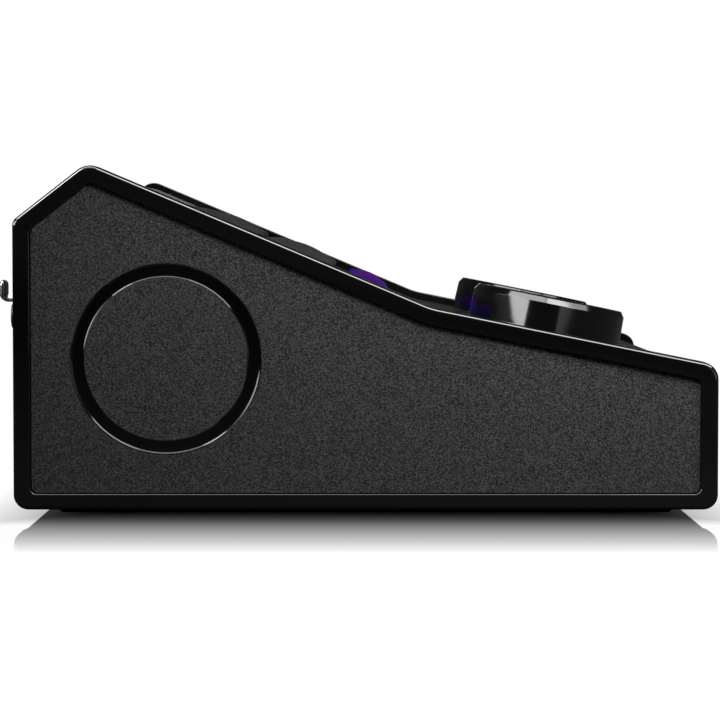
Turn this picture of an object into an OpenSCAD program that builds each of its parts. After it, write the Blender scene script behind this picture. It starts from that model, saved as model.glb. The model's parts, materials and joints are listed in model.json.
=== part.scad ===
// Desktop wedge-shaped audio interface: two end cheeks carry a bent control panel,
// a front and a rear panel and a bottom pan. All sizes are in millimetres.
// +X is the user's right, the front faces -Y and +Z is up.

/* [Body] */
// Overall width across the two end cheeks
width = 200; // [190:1:240]
// Depth of the cheeks, front to rear
depth = 165; // [158:1:185]
// Height of the front edge above the bottom of the cheeks
front_h = 33.9; // [32:0.1:38]
// Distance of the bend in the top behind the front edge
bend_run = 67.2; // [64:0.1:72]
// Height of the bend
bend_h = 47.4; // [45:0.1:52]
// Height of the apex, the highest line of the body
apex_h = 81.2; // [76:0.1:90]
// Distance of the apex ahead of the rear edge
apex_from_rear = 17.5; // [12:0.1:20]
// Height of the rear face
rear_h = 67.6; // [64:0.1:74]

/* [Corners] */
// Radius of the two bottom corners of the cheeks
r_bottom = 3.5; // [3:0.1:5]
// Radius of the corner above the rear face
r_rear = 2.4; // [1.5:0.1:4]
// Radius of the apex
r_apex = 4.8; // [3:0.1:6]
// Radius of the bend in the top
r_bend = 20; // [10:1:40]
// Radius of the corner above the front face
r_front = 4.2; // [2.5:0.1:5]

/* [Cheeks] */
// Thickness of an end cheek
cheek_t = 6; // [5.6:0.1:8]
// Width of the raised rim round the side panel
rim_w = 4; // [3:0.1:6]
// Width of the rim along the bottom edge
rim_bottom_w = 3.7; // [3:0.1:6]
// Radius on the outer edge of the rim
edge_fillet = 0.9; // [0.4:0.1:1.2]
// Depth of the side panel below the rim
side_recess = 1.1; // [0.6:0.1:1.4]
// Thickness of the side panel
side_panel_t = 1.5; // [1.2:0.1:2]
// Outer diameter of the ring on the side panel
ring_d = 44.8; // [30:0.1:48]
// Width of the ring
ring_w = 3.05; // [1.5:0.05:5]
// Depth of the groove that holds the ring
ring_groove = 0.7; // [0.4:0.1:1]
// Thickness of the ring inlay
ring_t = 0.3; // [0.2:0.1:0.4]
// Distance of the ring's centre ahead of the rear edge
ring_from_rear = 35.7; // [33:0.1:39]
// Height of the ring's centre
ring_h = 35.3; // [32:0.1:38]

/* [Panels] */
// Depth of the top, front and rear panels below the edge of the cheeks
panel_inset = 2.2; // [1.5:0.1:3]
// Thickness of the top panel
panel_t = 2.2; // [1.8:0.1:2.6]
// Thickness of the front panel, the rear panel and the bottom pan
sheet_t = 1.6; // [1.2:0.1:2]
// How far the top panel turns down at the front and at the rear
lip_drop = 6; // [4:0.5:8]
// Height of the pan's floor above the bottom of the cheeks
floor_lift = 0.5; // [0.5:0.1:1]
// Height of the plinth below the cheeks
plinth_h = 1.6; // [1:0.1:3]
// Inset of the plinth from the outline of the body
plinth_inset = 7.5; // [7:0.1:12]
// Height of the pan's upturned flanges
flange_h = 6.5; // [6:0.1:6.8]
// Diameter of a foot
foot_d = 14; // [8:0.5:18]
// Height of a foot below the plinth
foot_out = 0.8; // [0.5:0.1:2]
// Depth of the pocket that holds a foot
foot_pocket = 0.8; // [0.5:0.1:1]
// Distance of the feet from the sides, the front and the rear
foot_inset = 24; // [20:1:34]

/* [Knobs] */
// Diameter of a knob at its base
knob_d = 38.7; // [30:0.1:42]
// Height of a knob's top above the panel
knob_rise = 9.6; // [9:0.1:14]
// Draft of a knob's side in degrees
knob_draft = 2; // [0:0.5:4]
// Width of the bevel round a knob's top
knob_edge = 0.9; // [0.5:0.1:2]
// Height of the bevel round a knob's top
knob_bevel = 1.4; // [0.5:0.1:2]
// Gap under a knob
knob_gap = 0.5; // [0.4:0.1:1]
// Thickness of a knob's top and side
knob_wall = 3; // [2:0.1:3.5]
// Distance of each knob's middle from the side of the body
knob_from_side = 47.6; // [44:0.1:52]
// Distance of the knobs up the front slope from the front edge
knob_along = 38.4; // [36:0.1:42]
// Diameter of the knob's shaft
shaft_d = 6; // [5:0.1:6.35]
// Diameter of the threaded bushing of a potentiometer
bushing_d = 8.9; // [8.6:0.1:9.5]
// Height of the bushing above the panel
bushing_rise = 3.6; // [3:0.1:4]
// Side of a potentiometer's case
pot_side = 16; // [14:0.5:18]

/* [Keys] */
// Length of a key down the slope
key_l = 18.6; // [14:0.1:19]
// Gap between neighbouring keys
key_gap = 3; // [2.8:0.1:5]
// Distance of the first row of keys from the apex, to its middle
key_along = 31.1; // [30:0.1:32]
// Height of the rear row of keys above the panel
key_rise_rear = 2.7; // [2:0.1:4]
// Height of the front row of keys above the panel
key_rise_front = 3; // [2:0.1:5]
// Height of the crown on a key
key_crown = 1; // [0.5:0.1:1.5]
// Corner radius of a key
key_r = 3; // [1:0.1:5]
// Travel of a key
key_travel = 1.2; // [0.6:0.1:1.4]
// Length of a lit button down the slope
button_l = 11.5; // [8:0.1:12]
// Width of a lit button
button_w = 24; // [16:0.5:28]
// Height of a lit button above the panel
button_rise = 2.7; // [2:0.1:4]
// Distance of the lit buttons from the apex, to their middle
button_along = 72; // [71:0.1:74]
// Width of the flange that keeps a key under the panel
key_flange = 1; // [0.6:0.1:1.1]
// Diameter of a key's stem
stem_d = 5; // [3:0.1:6]
// Side of a key switch
switch_side = 10; // [8:0.1:11]
// Depth of the control boards below the panel
board_drop = 10.2; // [9.6:0.1:11]

/* [Meter] */
// Length of the meter lens down the slope
meter_l = 14.4; // [8:0.1:15]
// Distance of the lens from the apex, to its middle
meter_along = 11.8; // [11.6:0.1:12]
// Height of the lens above the panel
meter_rise = 0.9; // [0.4:0.1:1.5]
// Number of lamps along the meter
meter_lamps = 12; // [6:1:16]

/* [Sockets] */
// Distance of the outer combination socket from the left side
combo_from_side = 22.5; // [22:0.1:24]
// Distance between the two combination sockets
combo_pitch = 31; // [29:0.1:34]
// Height of the round sockets on the rear panel
socket_h = 34.6; // [32:0.1:37]
// Width of a combination socket's flange
combo_w = 26; // [25:0.1:27]
// Height of a combination socket's flange
combo_h = 31; // [30:0.1:33]
// Inner diameter of a combination socket's mouth
mouth_d = 19.4; // [18.8:0.1:20]
// Diameter of the core inside the mouth
core_d = 15.2; // [14.8:0.1:15.4]
// Bore of the quarter-inch sockets
jack_bore = 6.5; // [6.4:0.05:6.7]
// How far the release tab stands out behind the cheeks
latch_out = 5.8; // [4.5:0.1:8]
// Height of the release tab's stem above the socket's centre
latch_rise = 14; // [13.5:0.1:14.4]
// Thickness of the release tab
tab_t = 1.9; // [1.4:0.1:2.4]
// Height of the release tab
tab_h = 5.3; // [3:0.1:6]
// Travel of the release tab
latch_travel = 2; // [1:0.1:2.4]
// Distance of the outer line socket from the right side
line_from_side = 48; // [44:1:52]
// Distance between the line sockets
line_pitch = 26; // [22:1:28]
// Distance of the front sockets from the sides of the body
phones_from_side = 24; // [23:0.5:25]
// Height of the front sockets
phones_h = 16; // [15.5:0.1:17]
// Outer width of the data socket
usb_w = 9; // [8.6:0.1:9.6]
// Outer height of the data socket
usb_h = 3.3; // [3:0.1:3.6]

/* [Boards] */
// Thickness of the circuit boards
board_t = 1.6; // [1.2:0.1:2]
// Height of the standoffs under the main board
standoff_h = 6; // [4:0.5:8]
// Width of the main board
main_w = 150; // [140:1:160]
// Length of the main board
main_l = 112; // [100:1:120]

/* [Fits] */
// Gap between pieces that are screwed or clipped together
seam = 0.1; // [0.05:0.05:0.2]
// Gap round a moving key, button or tab
slide_gap = 0.3; // [0.2:0.05:0.4]
// Radial gap between a knob's shaft and its bushing
run_gap = 0.05; // [0.03:0.01:0.1]
// Diameter of the screws
screw_d = 3; // [2.6:0.1:3.2]

/* [Hidden] */
$fn = 48;
arc_steps = 6;
fillet_steps = 4;
over = 1;
key_columns = 4;
key_rows = 2;
knob_x = width / 2 - knob_from_side;
phones_x = width / 2 - phones_from_side;
line_x = width / 2 - line_from_side - line_pitch;
columns = [for (i = [0 : key_columns - 1]) knob_x * (2 * i / (key_columns - 1) - 1)];
column_pitch = columns[1] - columns[0];
key_w = column_pitch - key_gap;
key_pitch = key_l + key_gap;
key_rises = [key_rise_rear, key_rise_front];
key_count = key_columns * key_rows;
rim_z = plinth_h + foot_out;
y_front = -(depth + latch_out) / 2;
y_rear = y_front + depth;
inner_x = width / 2 - cheek_t;
span_x = inner_x - seam;
apex_run = depth - apex_from_rear;
front_top = [0, front_h];
bend = [bend_run, bend_h];
apex = [apex_run, apex_h];
corners = [[0, 0], [depth, 0], [depth, rear_h], apex, bend, front_top];
radii = [r_bottom, r_bottom, r_rear, r_apex, r_bend, r_front];
front_angle = atan2(bend_h - front_h, bend_run);
slope_angle = atan2(apex_h - bend_h, apex_run - bend_run);
pocket_depth = side_recess + side_panel_t;
rim_insets = [rim_bottom_w, rim_w, rim_w, rim_w, rim_w, rim_w];
floor_top = floor_lift + sheet_t;
panel_rear = depth - panel_inset;
meter_w = 2 * knob_x + key_w;
key_board_side = 11;
control_board_half = meter_w / 2 + key_board_side;
post_d = 6;
post_inset = 4;
meter_post_gap = 12;
knob_board_reach = 24;
knob_board_side = 14;
knob_board_half = knob_x + knob_board_side;
switch_floor = 0.8;
switch_clear = 0.8;
key_board_head = 1;
key_board_tail = 3;
key_board_top = meter_along - meter_l / 2 + key_board_head;
key_board_end = button_along + button_l / 2 + key_board_tail;
pot_h = board_drop - panel_t;
pot_floor = 1.5;
pot_nut_d = bushing_d + 5;
pot_nut_t = 2;
shaft_foot_gap = 0.3;
lamp_side = 3;
flange_t = 1;
stem_l = 4;
switch_h = board_drop - panel_t - seam - flange_t - key_travel - switch_clear;
button_switch_side = 8;
pin_clear = 0.3;
pin_hole = screw_d + pin_clear;
tap_hole = screw_d + seam;
head_d = 1.9 * screw_d;
head_h = 0.6 * screw_d;
head_clear = 0.4;
post_bite = 5;
pan_screw_inset = 26.4;
flange_screw_lift = 0.6;
front_boss_along = 20;
slope_boss_along = 22;
rear_screw_inset = 6;
pocket_r = 1.5;
cheek_screw_l = 8;
flange_screw_h = floor_top + flange_h / 2 + flange_screw_lift;
boss_d = 8;
boss_l = 10;
boss_drop = panel_t + boss_d / 2 - 1;
board_clear = 0.5;
barrel_wall = 2.1;
barrel_l = 16;
combo_back = 6;
combo_flange_t = 2;
combo_x = -width / 2 + combo_from_side;
combo_places = [combo_x, combo_x + combo_pitch];
combo_lift = 1;
combo_r = 3;
combo_screw_bite = 2;
core_floor = 2;
contact_floor = 4;
contact_d = 2.4;
combo_screw_x = combo_w / 2 - 3;
combo_screw_z = 10.5;
latch_w = 7;
latch_stem_t = 0.8;
latch_reach = 10;
guide_wall = 1.6;
guide_spare = 1;
jack_side = 14;
jack_l = 20;
jack_floor = 2;
jack_bush_d = 11.8;
jack_nut_d = 15.8;
nut_t = 1.8;
usb_l = 7.4;
usb_wall = 0.35;
usb_r = 0.45 * usb_h;
usb_back = 1;
usb_tongue_w = 6.6;
usb_tongue_t = 0.7;
ribbon_w = 24;
ribbon_t = 0.8;
ribbon_inset = 10;
ribbon_socket_wall = 1.5;
ribbon_socket_h = 3;

// Vector helpers
function unit(v) = v / norm(v);
function inward(v) = [-v[1], v[0]];
function turned(v, a) = [v[0] * cos(a) - v[1] * sin(a), v[0] * sin(a) + v[1] * cos(a)];
function wrap(i) = (i + len(corners)) % len(corners);
function even(d) = [for (c = corners) d];

// A point of the side outline: share t of the way round the arc at corner i, with each
// edge moved inwards by its inset and no corner sharper than soft
function corner_point(i, t, inset, soft) =
  let (
    a = unit(corners[i] - corners[wrap(i - 1)]),
    b = unit(corners[wrap(i + 1)] - corners[i]),
    na = inward(a),
    nb = inward(b),
    da = inset[wrap(i - 1)],
    db = inset[i],
    c = na * nb,
    q = corners[i] + ((da - c * db) * na + (db - c * da) * nb) / (1 - c * c),
    turn = atan2(cross(a, b), a * b),
    side = sign(turn),
    r = max(radii[i] - side * (da + db) / 2, soft),
    centre = q + side * r * (na + nb) / (1 + c)
  )
  centre - side * r * turned(na, turn * t);

// The rounded side outline, as distance behind the front edge and height
function outline(inset, soft = 0.4) =
  [for (i = [0 : len(corners) - 1]) for (k = [0 : arc_steps]) corner_point(i, k / arc_steps, inset, soft)];

// Places on the two slopes, measured along the slope and down from the panel's outer face
function on_front_point(along, down) =
  front_top + along * [cos(front_angle), sin(front_angle)]
  + (panel_inset + down) * [sin(front_angle), -cos(front_angle)];
function on_slope_point(along, down) =
  apex - along * [cos(slope_angle), sin(slope_angle)]
  + (panel_inset + down) * [sin(slope_angle), -cos(slope_angle)];

// Extrudes a side outline across the body from x0 to x1
module across(x0, x1) {
  translate([x0, y_front, rim_z]) rotate([90, 0, 90]) linear_extrude(x1 - x0) children();
}

// Turns +Z to +X, for round features that run across the body
module crosswise(x, p) {
  translate([x, y_front + p[0], rim_z + p[1]]) rotate([0, 90, 0]) children();
}

// Turns +Z to +Y, for features that run from front to rear
module lengthwise(x, p) {
  translate([x, y_front + p[0], rim_z + p[1]]) rotate([-90, 0, 0]) children();
}

module on_front(x, along) {
  p = on_front_point(along, 0);
  translate([x, y_front + p[0], rim_z + p[1]]) rotate([front_angle, 0, 0]) children();
}

module on_slope(x, along) {
  p = on_slope_point(along, 0);
  translate([x, y_front + p[0], rim_z + p[1]]) rotate([slope_angle, 0, 0]) children();
}

module both_sides() {
  children();
  mirror([1, 0, 0]) children();
}

module rounded_rect(w, l, r) {
  square([w - 2 * r, l], center = true);
  square([w, l - 2 * r], center = true);
  for (x = [-1, 1], y = [-1, 1]) translate([x * (w / 2 - r), y * (l / 2 - r)]) circle(r);
}

// A screw whose head sits on the plane z = 0, with its shank below
module screw(l) {
  difference() {
    union() {
      cylinder(d = head_d, h = head_h);
      translate([0, 0, -l]) cylinder(d = screw_d, h = l + over / 2);
    }
    translate([0, 0, head_h / 2]) cylinder(d = 0.5 * head_d, h = head_h, $fn = 6);
  }
}

// Places of the cheek screws: two in the pan's side flange, two in the top panel's bosses
cheek_screw_places = [
  [pan_screw_inset, flange_screw_h],
  [depth - pan_screw_inset, flange_screw_h],
  on_front_point(front_boss_along, boss_drop),
  on_slope_point(slope_boss_along, boss_drop)
];

// Right cheek: the side outline lofted with a quarter-round outer edge, pocketed for its panel
module cheek() {
  quarter = [for (k = [0 : fillet_steps]) 90 * k / fillet_steps];
  stations = concat(
    [[0, 0]],
    [for (a = quarter) [cheek_t - edge_fillet * (1 - sin(a)), edge_fillet * (1 - cos(a))]]
  );
  rings = [for (s = stations)
    [for (p = outline(even(s[1]))) [inner_x + s[0], y_front + p[0], rim_z + p[1]]]];
  n = len(rings[0]);
  last = len(rings) - 1;
  walls = [for (r = [0 : last - 1]) for (j = [0 : n - 1])
    [r * n + j, (r + 1) * n + j, (r + 1) * n + (j + 1) % n, r * n + (j + 1) % n]];
  caps = [[for (j = [0 : n - 1]) j], [for (j = [n - 1 : -1 : 0]) last * n + j]];
  difference() {
    polyhedron(points = [for (ring = rings) for (p = ring) p], faces = concat(walls, caps));
    across(width / 2 - pocket_depth, width / 2 + over) polygon(outline(rim_insets, pocket_r));
    for (p = cheek_screw_places) {
      crosswise(inner_x - over, p) cylinder(d = pin_hole, h = cheek_t + 2 * over);
      crosswise(width / 2 - pocket_depth - head_h - seam, p) cylinder(d = head_d + head_clear, h = cheek_t);
    }
  }
}

module left_cheek() {
  color("#121214") mirror([1, 0, 0]) cheek();
}

module right_cheek() {
  color("#121214") cheek();
}

// Flat textured panel inside the rim, with a round groove
module side_panel() {
  outer_face = width / 2 - side_recess;
  difference() {
    across(outer_face - side_panel_t, outer_face) polygon(outline(rim_insets + even(seam), pocket_r));
    crosswise(outer_face - ring_groove, [depth - ring_from_rear, ring_h]) difference() {
      cylinder(d = ring_d, h = ring_groove + over, $fn = 96);
      translate([0, 0, -over]) cylinder(d = ring_d - 2 * ring_w, h = ring_groove + 3 * over, $fn = 96);
    }
  }
}

module left_side_panel() {
  color("#2b2b2d") mirror([1, 0, 0]) side_panel();
}

module right_side_panel() {
  color("#2b2b2d") side_panel();
}

// Gloss inlay at the bottom of the round groove
module ring() {
  crosswise(width / 2 - side_recess - ring_groove, [depth - ring_from_rear, ring_h]) difference() {
    cylinder(d = ring_d - 2 * seam, h = ring_t, $fn = 96);
    translate([0, 0, -over]) cylinder(d = ring_d - 2 * ring_w + 2 * seam, h = ring_t + 2 * over, $fn = 96);
  }
}

module left_ring() {
  color("#0c0c0e") mirror([1, 0, 0]) ring();
}

module right_ring() {
  color("#0c0c0e") ring();
}

module window(w, l, r) {
  translate([0, 0, -panel_t - over]) linear_extrude(panel_t + 2 * over) rounded_rect(w, l, r);
}

// A moulded post from the panel down to a control board
module board_post() {
  translate([0, 0, -board_drop]) difference() {
    cylinder(d = post_d, h = board_drop - panel_t / 2);
    translate([0, 0, -over]) cylinder(d = tap_hole, h = board_drop - panel_t);
  }
}

module at_key_board_posts() {
  for (x = [-1, 1], along = [key_board_top + post_inset + meter_post_gap, key_board_end - post_inset])
    on_slope(x * (control_board_half - post_inset), along) children();
}

module at_knob_board_posts() {
  for (x = [-1, 1], along = [-1, 1])
    on_front(x * (knob_board_half - post_inset), knob_along + along * (knob_board_reach - post_inset))
      children();
}

// Bent control panel from the front lip over the apex to the rear lip
module top_panel() {
  rear_wall = panel_inset + panel_t + over;
  color("#161618") difference() {
    union() {
      across(-span_x, span_x) difference() {
        polygon(outline(even(panel_inset)));
        polygon(outline(even(panel_inset + panel_t)));
        translate([-over, -over]) square([bend_run, front_h - lip_drop + over]);
        translate([-over, -over]) square([depth + 2 * over, panel_inset + panel_t + 2 * over]);
        translate([depth - rear_wall, -over]) square([rear_wall + over, rear_h - lip_drop + over]);
      }
      at_key_board_posts() board_post();
      at_knob_board_posts() board_post();
      both_sides() for (i = [2, 3])
        crosswise(span_x - boss_l, cheek_screw_places[i]) cylinder(d = boss_d, h = boss_l);
    }
    for (x = [-knob_x, knob_x])
      on_front(x, knob_along) translate([0, 0, -panel_t - over])
        cylinder(d = bushing_d + 2 * seam, h = panel_t + 2 * over);
    for (row = [0 : key_rows - 1], x = columns)
      on_slope(x, key_along + row * key_pitch) window(key_w + 2 * slide_gap, key_l + 2 * slide_gap, key_r);
    for (x = columns)
      on_slope(x, button_along) window(button_w + 2 * slide_gap, button_l + 2 * slide_gap, key_r);
    on_slope(0, meter_along) window(meter_w + 2 * seam, meter_l + 2 * seam, key_r);
    both_sides() for (i = [2, 3])
      crosswise(span_x - cheek_screw_l, cheek_screw_places[i])
        cylinder(d = tap_hole, h = cheek_screw_l + over);
  }
}

// Front panel with the two front sockets' holes
module front_panel() {
  color("#141416") difference() {
    translate([-span_x, y_front + panel_inset, rim_z + floor_lift])
      cube([2 * span_x, sheet_t, front_h - lip_drop - seam - floor_lift]);
    for (x = [-phones_x, phones_x])
      lengthwise(x, [panel_inset - over, phones_h])
        cylinder(d = jack_bush_d + 2 * seam, h = sheet_t + 2 * over);
  }
}

combo_slot_w = latch_w + 2 * guide_wall;
combo_slot_h = latch_stem_t + 2 * slide_gap + 2 * guide_wall;
rear_screw_x = span_x - rear_screw_inset;

// Rear panel, cut out for its sockets
module rear_panel() {
  start = panel_rear - sheet_t - over;
  cut = sheet_t + 2 * over;
  color("#1a1a1c") difference() {
    translate([-span_x, y_front + panel_rear - sheet_t, rim_z + floor_lift])
      cube([2 * span_x, sheet_t, rear_h - lip_drop - seam - floor_lift]);
    for (x = combo_places) {
      lengthwise(x, [start, socket_h]) cylinder(d = mouth_d + 2 * barrel_wall + 2 * seam, h = cut);
      translate([x - combo_slot_w / 2 - seam, y_front + start, rim_z + socket_h])
        cube([combo_slot_w + 2 * seam, cut, latch_rise + combo_slot_h / 2 + seam]);
      for (side = [-1, 1])
        lengthwise(x + side * combo_screw_x, [start, socket_h - side * combo_screw_z])
          cylinder(d = pin_hole, h = cut);
    }
    for (x = [line_x, line_x + line_pitch])
      lengthwise(x, [start, socket_h]) cylinder(d = jack_bush_d + 2 * seam, h = cut);
    translate([-usb_w / 2 - seam, y_front + start, rim_z + usb_z - usb_h / 2 - seam])
      cube([usb_w + 2 * seam, cut, usb_h + 2 * seam]);
    both_sides() lengthwise(rear_screw_x, [start, flange_screw_h]) cylinder(d = pin_hole, h = cut);
  }
}

main_z = floor_top + standoff_h;
main_rear = panel_rear - 2 * sheet_t - board_clear;
usb_z = main_z + board_t + usb_h / 2;
main_hole_inset = 5;
main_holes = [for (x = [-1, 1], s = [main_rear - main_l + main_hole_inset, main_rear - main_hole_inset])
  [x * (main_w / 2 - main_hole_inset), s]];

module at_main_holes(h) {
  for (p = main_holes) translate([p[0], y_front + p[1], rim_z + h]) children();
}

module at_feet(h) {
  for (x = [-1, 1], y = [y_front + foot_inset, y_rear - foot_inset])
    translate([x * (width / 2 - foot_inset), y, h]) children();
}

// Bottom pan: floor, four upturned flanges and a chamfered plinth below
module bottom_pan() {
  front = panel_inset + sheet_t;
  rear = panel_rear - sheet_t;
  chamfer = plinth_h + floor_lift + sheet_t / 2;
  plinth_x = width / 2 - plinth_inset;
  color("#18181a") difference() {
    union() {
      translate([-span_x, y_front + front, rim_z + floor_lift]) cube([2 * span_x, rear - front, sheet_t]);
      both_sides() translate([span_x - sheet_t, y_front + front, rim_z + floor_lift])
        cube([sheet_t, rear - front, sheet_t + flange_h]);
      for (y = [front, rear - sheet_t])
        translate([-span_x, y_front + y, rim_z + floor_lift])
          cube([2 * span_x, sheet_t, sheet_t + flange_h]);
      intersection() {
        across(-plinth_x, plinth_x) polygon([
          [plinth_inset, -plinth_h + chamfer],
          [plinth_inset + chamfer, -plinth_h],
          [depth - plinth_inset - chamfer, -plinth_h],
          [depth - plinth_inset, -plinth_h + chamfer]
        ]);
        lengthwise(0, [0, 0]) linear_extrude(depth) polygon([
          [-plinth_x, plinth_h - chamfer],
          [plinth_x, plinth_h - chamfer],
          [plinth_x - chamfer, plinth_h],
          [-plinth_x + chamfer, plinth_h]
        ]);
      }
    }
    at_feet(foot_out - over) cylinder(d = foot_d + 2 * seam, h = foot_pocket + over);
    both_sides() for (i = [0, 1])
      crosswise(span_x - sheet_t - over, cheek_screw_places[i])
        cylinder(d = tap_hole, h = sheet_t + 2 * over);
    both_sides() lengthwise(rear_screw_x, [rear - sheet_t - over, flange_screw_h])
      cylinder(d = tap_hole, h = sheet_t + 2 * over);
  }
}

module feet() {
  color("#0a0a0a") at_feet(0) cylinder(d = foot_d, h = foot_out + foot_pocket);
}

module cheek_screws() {
  color("#8a8a8c") both_sides() for (p = cheek_screw_places)
    crosswise(width / 2 - pocket_depth - head_h - seam, p) screw(cheek_screw_l);
}

module rear_panel_screws() {
  color("#2a2a2c") both_sides()
    lengthwise(rear_screw_x, [panel_rear, flange_screw_h]) screw(2 * sheet_t + over);
}

module main_board() {
  color("#0f3d2a") difference() {
    translate([-main_w / 2, y_front + main_rear - main_l, rim_z + main_z]) cube([main_w, main_l, board_t]);
    at_main_holes(main_z - over) cylinder(d = pin_hole, h = board_t + 2 * over);
  }
}

module board_standoffs() {
  color("#b8a05a") at_main_holes(floor_top) difference() {
    cylinder(d = post_d, h = standoff_h, $fn = 6);
    translate([0, 0, -over]) cylinder(d = tap_hole, h = standoff_h + 2 * over);
  }
}

module board_screws() {
  color("#8a8a8c") at_main_holes(main_z + board_t) screw(board_t + standoff_h - over);
}

module board_hole() {
  translate([0, 0, -board_drop - board_t - over]) cylinder(d = pin_hole, h = board_t + 2 * over);
}

module key_board() {
  l = key_board_end - key_board_top;
  color("#0f3d2a") difference() {
    on_slope(0, (key_board_top + key_board_end) / 2)
      translate([-control_board_half, -l / 2, -board_drop - board_t])
        cube([2 * control_board_half, l, board_t]);
    at_key_board_posts() board_hole();
  }
}

module knob_board() {
  color("#0f3d2a") difference() {
    on_front(0, knob_along) translate([-knob_board_half, -knob_board_reach, -board_drop - board_t])
      cube([2 * knob_board_half, 2 * knob_board_reach, board_t]);
    at_knob_board_posts() board_hole();
  }
}

module post_screw() {
  translate([0, 0, -board_drop - board_t]) rotate([180, 0, 0]) screw(board_t + post_bite);
}

// Screws from below the control boards into the panel's posts
module control_board_screws() {
  color("#8a8a8c") {
    at_key_board_posts() post_screw();
    at_knob_board_posts() post_screw();
  }
}

// A switch housing on the board, bored for the stem of its key
module switch_housing(side) {
  translate([0, 0, -board_drop]) difference() {
    translate([-side / 2, -side / 2, 0]) cube([side, side, switch_h]);
    translate([0, 0, switch_floor]) cylinder(d = stem_d + 2 * slide_gap, h = switch_h);
  }
}

module key_switches() {
  color("#202022") for (row = [0 : key_rows - 1], x = columns)
    on_slope(x, key_along + row * key_pitch) switch_housing(switch_side);
}

module button_switches() {
  color("#202022") for (x = columns) on_slope(x, button_along) switch_housing(button_switch_side);
}

// Smoked lens of the level meter, held by a flange under the panel
module meter_lens() {
  color("#0a0a10") on_slope(0, meter_along) {
    translate([0, 0, -panel_t - over / 2]) linear_extrude(panel_t + over / 2 + meter_rise)
      rounded_rect(meter_w, meter_l, key_r);
    translate([0, 0, -panel_t - seam - flange_t]) linear_extrude(flange_t)
      rounded_rect(meter_w + 2 * key_flange, meter_l + 2 * key_flange, key_r);
  }
}

module meter_lamps() {
  pitch = meter_w / meter_lamps;
  color("#d8d8d0") for (i = [0 : meter_lamps - 1])
    on_slope(-meter_w / 2 + (i + 0.5) * pitch, meter_along)
      translate([-lamp_side / 2, -lamp_side / 2, -board_drop]) cube([lamp_side, lamp_side, lamp_side / 2]);
}

// Potentiometer case with its threaded bushing and the bore for the shaft
module pot() {
  color("#6a6a6e") difference() {
    union() {
      translate([-pot_side / 2, -pot_side / 2, -board_drop]) cube([pot_side, pot_side, pot_h]);
      translate([0, 0, -panel_t - over]) cylinder(d = bushing_d, h = panel_t + over + bushing_rise);
    }
    translate([0, 0, -board_drop + pot_floor])
      cylinder(d = shaft_d + 2 * run_gap, h = board_drop + bushing_rise);
  }
}

module left_pot() {
  on_front(-knob_x, knob_along) pot();
}

module right_pot() {
  on_front(knob_x, knob_along) pot();
}

module pot_nuts() {
  color("#9a9a9c") for (x = [-knob_x, knob_x]) on_front(x, knob_along) difference() {
    cylinder(d = pot_nut_d, h = pot_nut_t, $fn = 6);
    translate([0, 0, -over]) cylinder(d = bushing_d + 2 * seam, h = pot_nut_t + 2 * over);
  }
}

knob_top_r = knob_d / 2 - (knob_rise - knob_gap) * tan(knob_draft);
hub_d = 2 * shaft_d;
hub_clear = 0.4;
hub_foot = bushing_rise + hub_clear;
shaft_seat = 0.8;
shaft_top = knob_rise - knob_wall + shaft_seat;

// Turned knob: drafted side, bevelled top edge, dished top, hollow skirt and a hub for the shaft
module knob() {
  dish = 0.5;
  dish_r = knob_top_r - 4 * knob_edge;
  bevel_r = knob_top_r + knob_bevel * tan(knob_draft);
  color("#0b0b0c") difference() {
    rotate_extrude($fn = 96) polygon(concat(
      [[0, knob_gap], [knob_d / 2, knob_gap]],
      [[bevel_r, knob_rise - knob_bevel], [knob_top_r - knob_edge, knob_rise]],
      [[knob_top_r - 3 * knob_edge, knob_rise]],
      [[dish_r, knob_rise - dish], [0, knob_rise - dish]]
    ));
    rotate_extrude($fn = 96) polygon([
      [hub_d / 2, 0],
      [knob_d / 2 - knob_wall, 0],
      [knob_top_r - knob_wall, knob_rise - knob_wall],
      [hub_d / 2, knob_rise - knob_wall]
    ]);
    cylinder(d = hub_d + over, h = hub_foot);
    cylinder(d = shaft_d + 2 * run_gap, h = shaft_top + run_gap);
    translate([-pointer_w / 2, dish_r - pointer_inset - pointer_l, knob_rise - dish - pointer_cut])
      cube([pointer_w, pointer_l, over]);
  }
}

pointer_w = 1.4;
pointer_l = 7;
pointer_cut = 0.4;
pointer_inset = 0.7;

module left_knob() {
  on_front(-knob_x, knob_along) knob();
}

module right_knob() {
  on_front(knob_x, knob_along) knob();
}

module knob_shaft() {
  foot = -board_drop + pot_floor + shaft_foot_gap;
  color("#b0b0b4") translate([0, 0, foot]) cylinder(d = shaft_d, h = shaft_top - foot);
}

module left_knob_shaft() {
  on_front(-knob_x, knob_along) knob_shaft();
}

module right_knob_shaft() {
  on_front(knob_x, knob_along) knob_shaft();
}

// A crowned key cap with its flange under the panel and the stem that slides in its switch
module key_cap(w, l, rise) {
  flange_top = -panel_t - seam;
  long_r = ((l / 2) ^ 2 + key_crown ^ 2) / (2 * key_crown);
  wide_r = ((w / 2) ^ 2 + key_crown ^ 2) / (2 * key_crown);
  intersection() {
    translate([0, 0, flange_top - flange_t / 2]) linear_extrude(rise - flange_top + flange_t)
      rounded_rect(w, l, key_r);
    translate([0, 0, rise - long_r]) rotate([0, 90, 0]) cylinder(r = long_r, h = w + over, center = true);
    translate([0, 0, rise - wide_r]) rotate([90, 0, 0]) cylinder(r = wide_r, h = l + over, center = true);
  }
  translate([0, 0, flange_top - flange_t]) linear_extrude(flange_t)
    rounded_rect(w + 2 * key_flange, l + 2 * key_flange, key_r);
  translate([0, 0, flange_top - flange_t - stem_l]) cylinder(d = stem_d, h = stem_l + flange_t / 2);
}

module key(i) {
  row = floor(i / key_columns);
  color("#1c1c1f") on_slope(columns[i % key_columns], key_along + row * key_pitch)
    key_cap(key_w, key_l, key_rises[row]);
}

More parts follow.
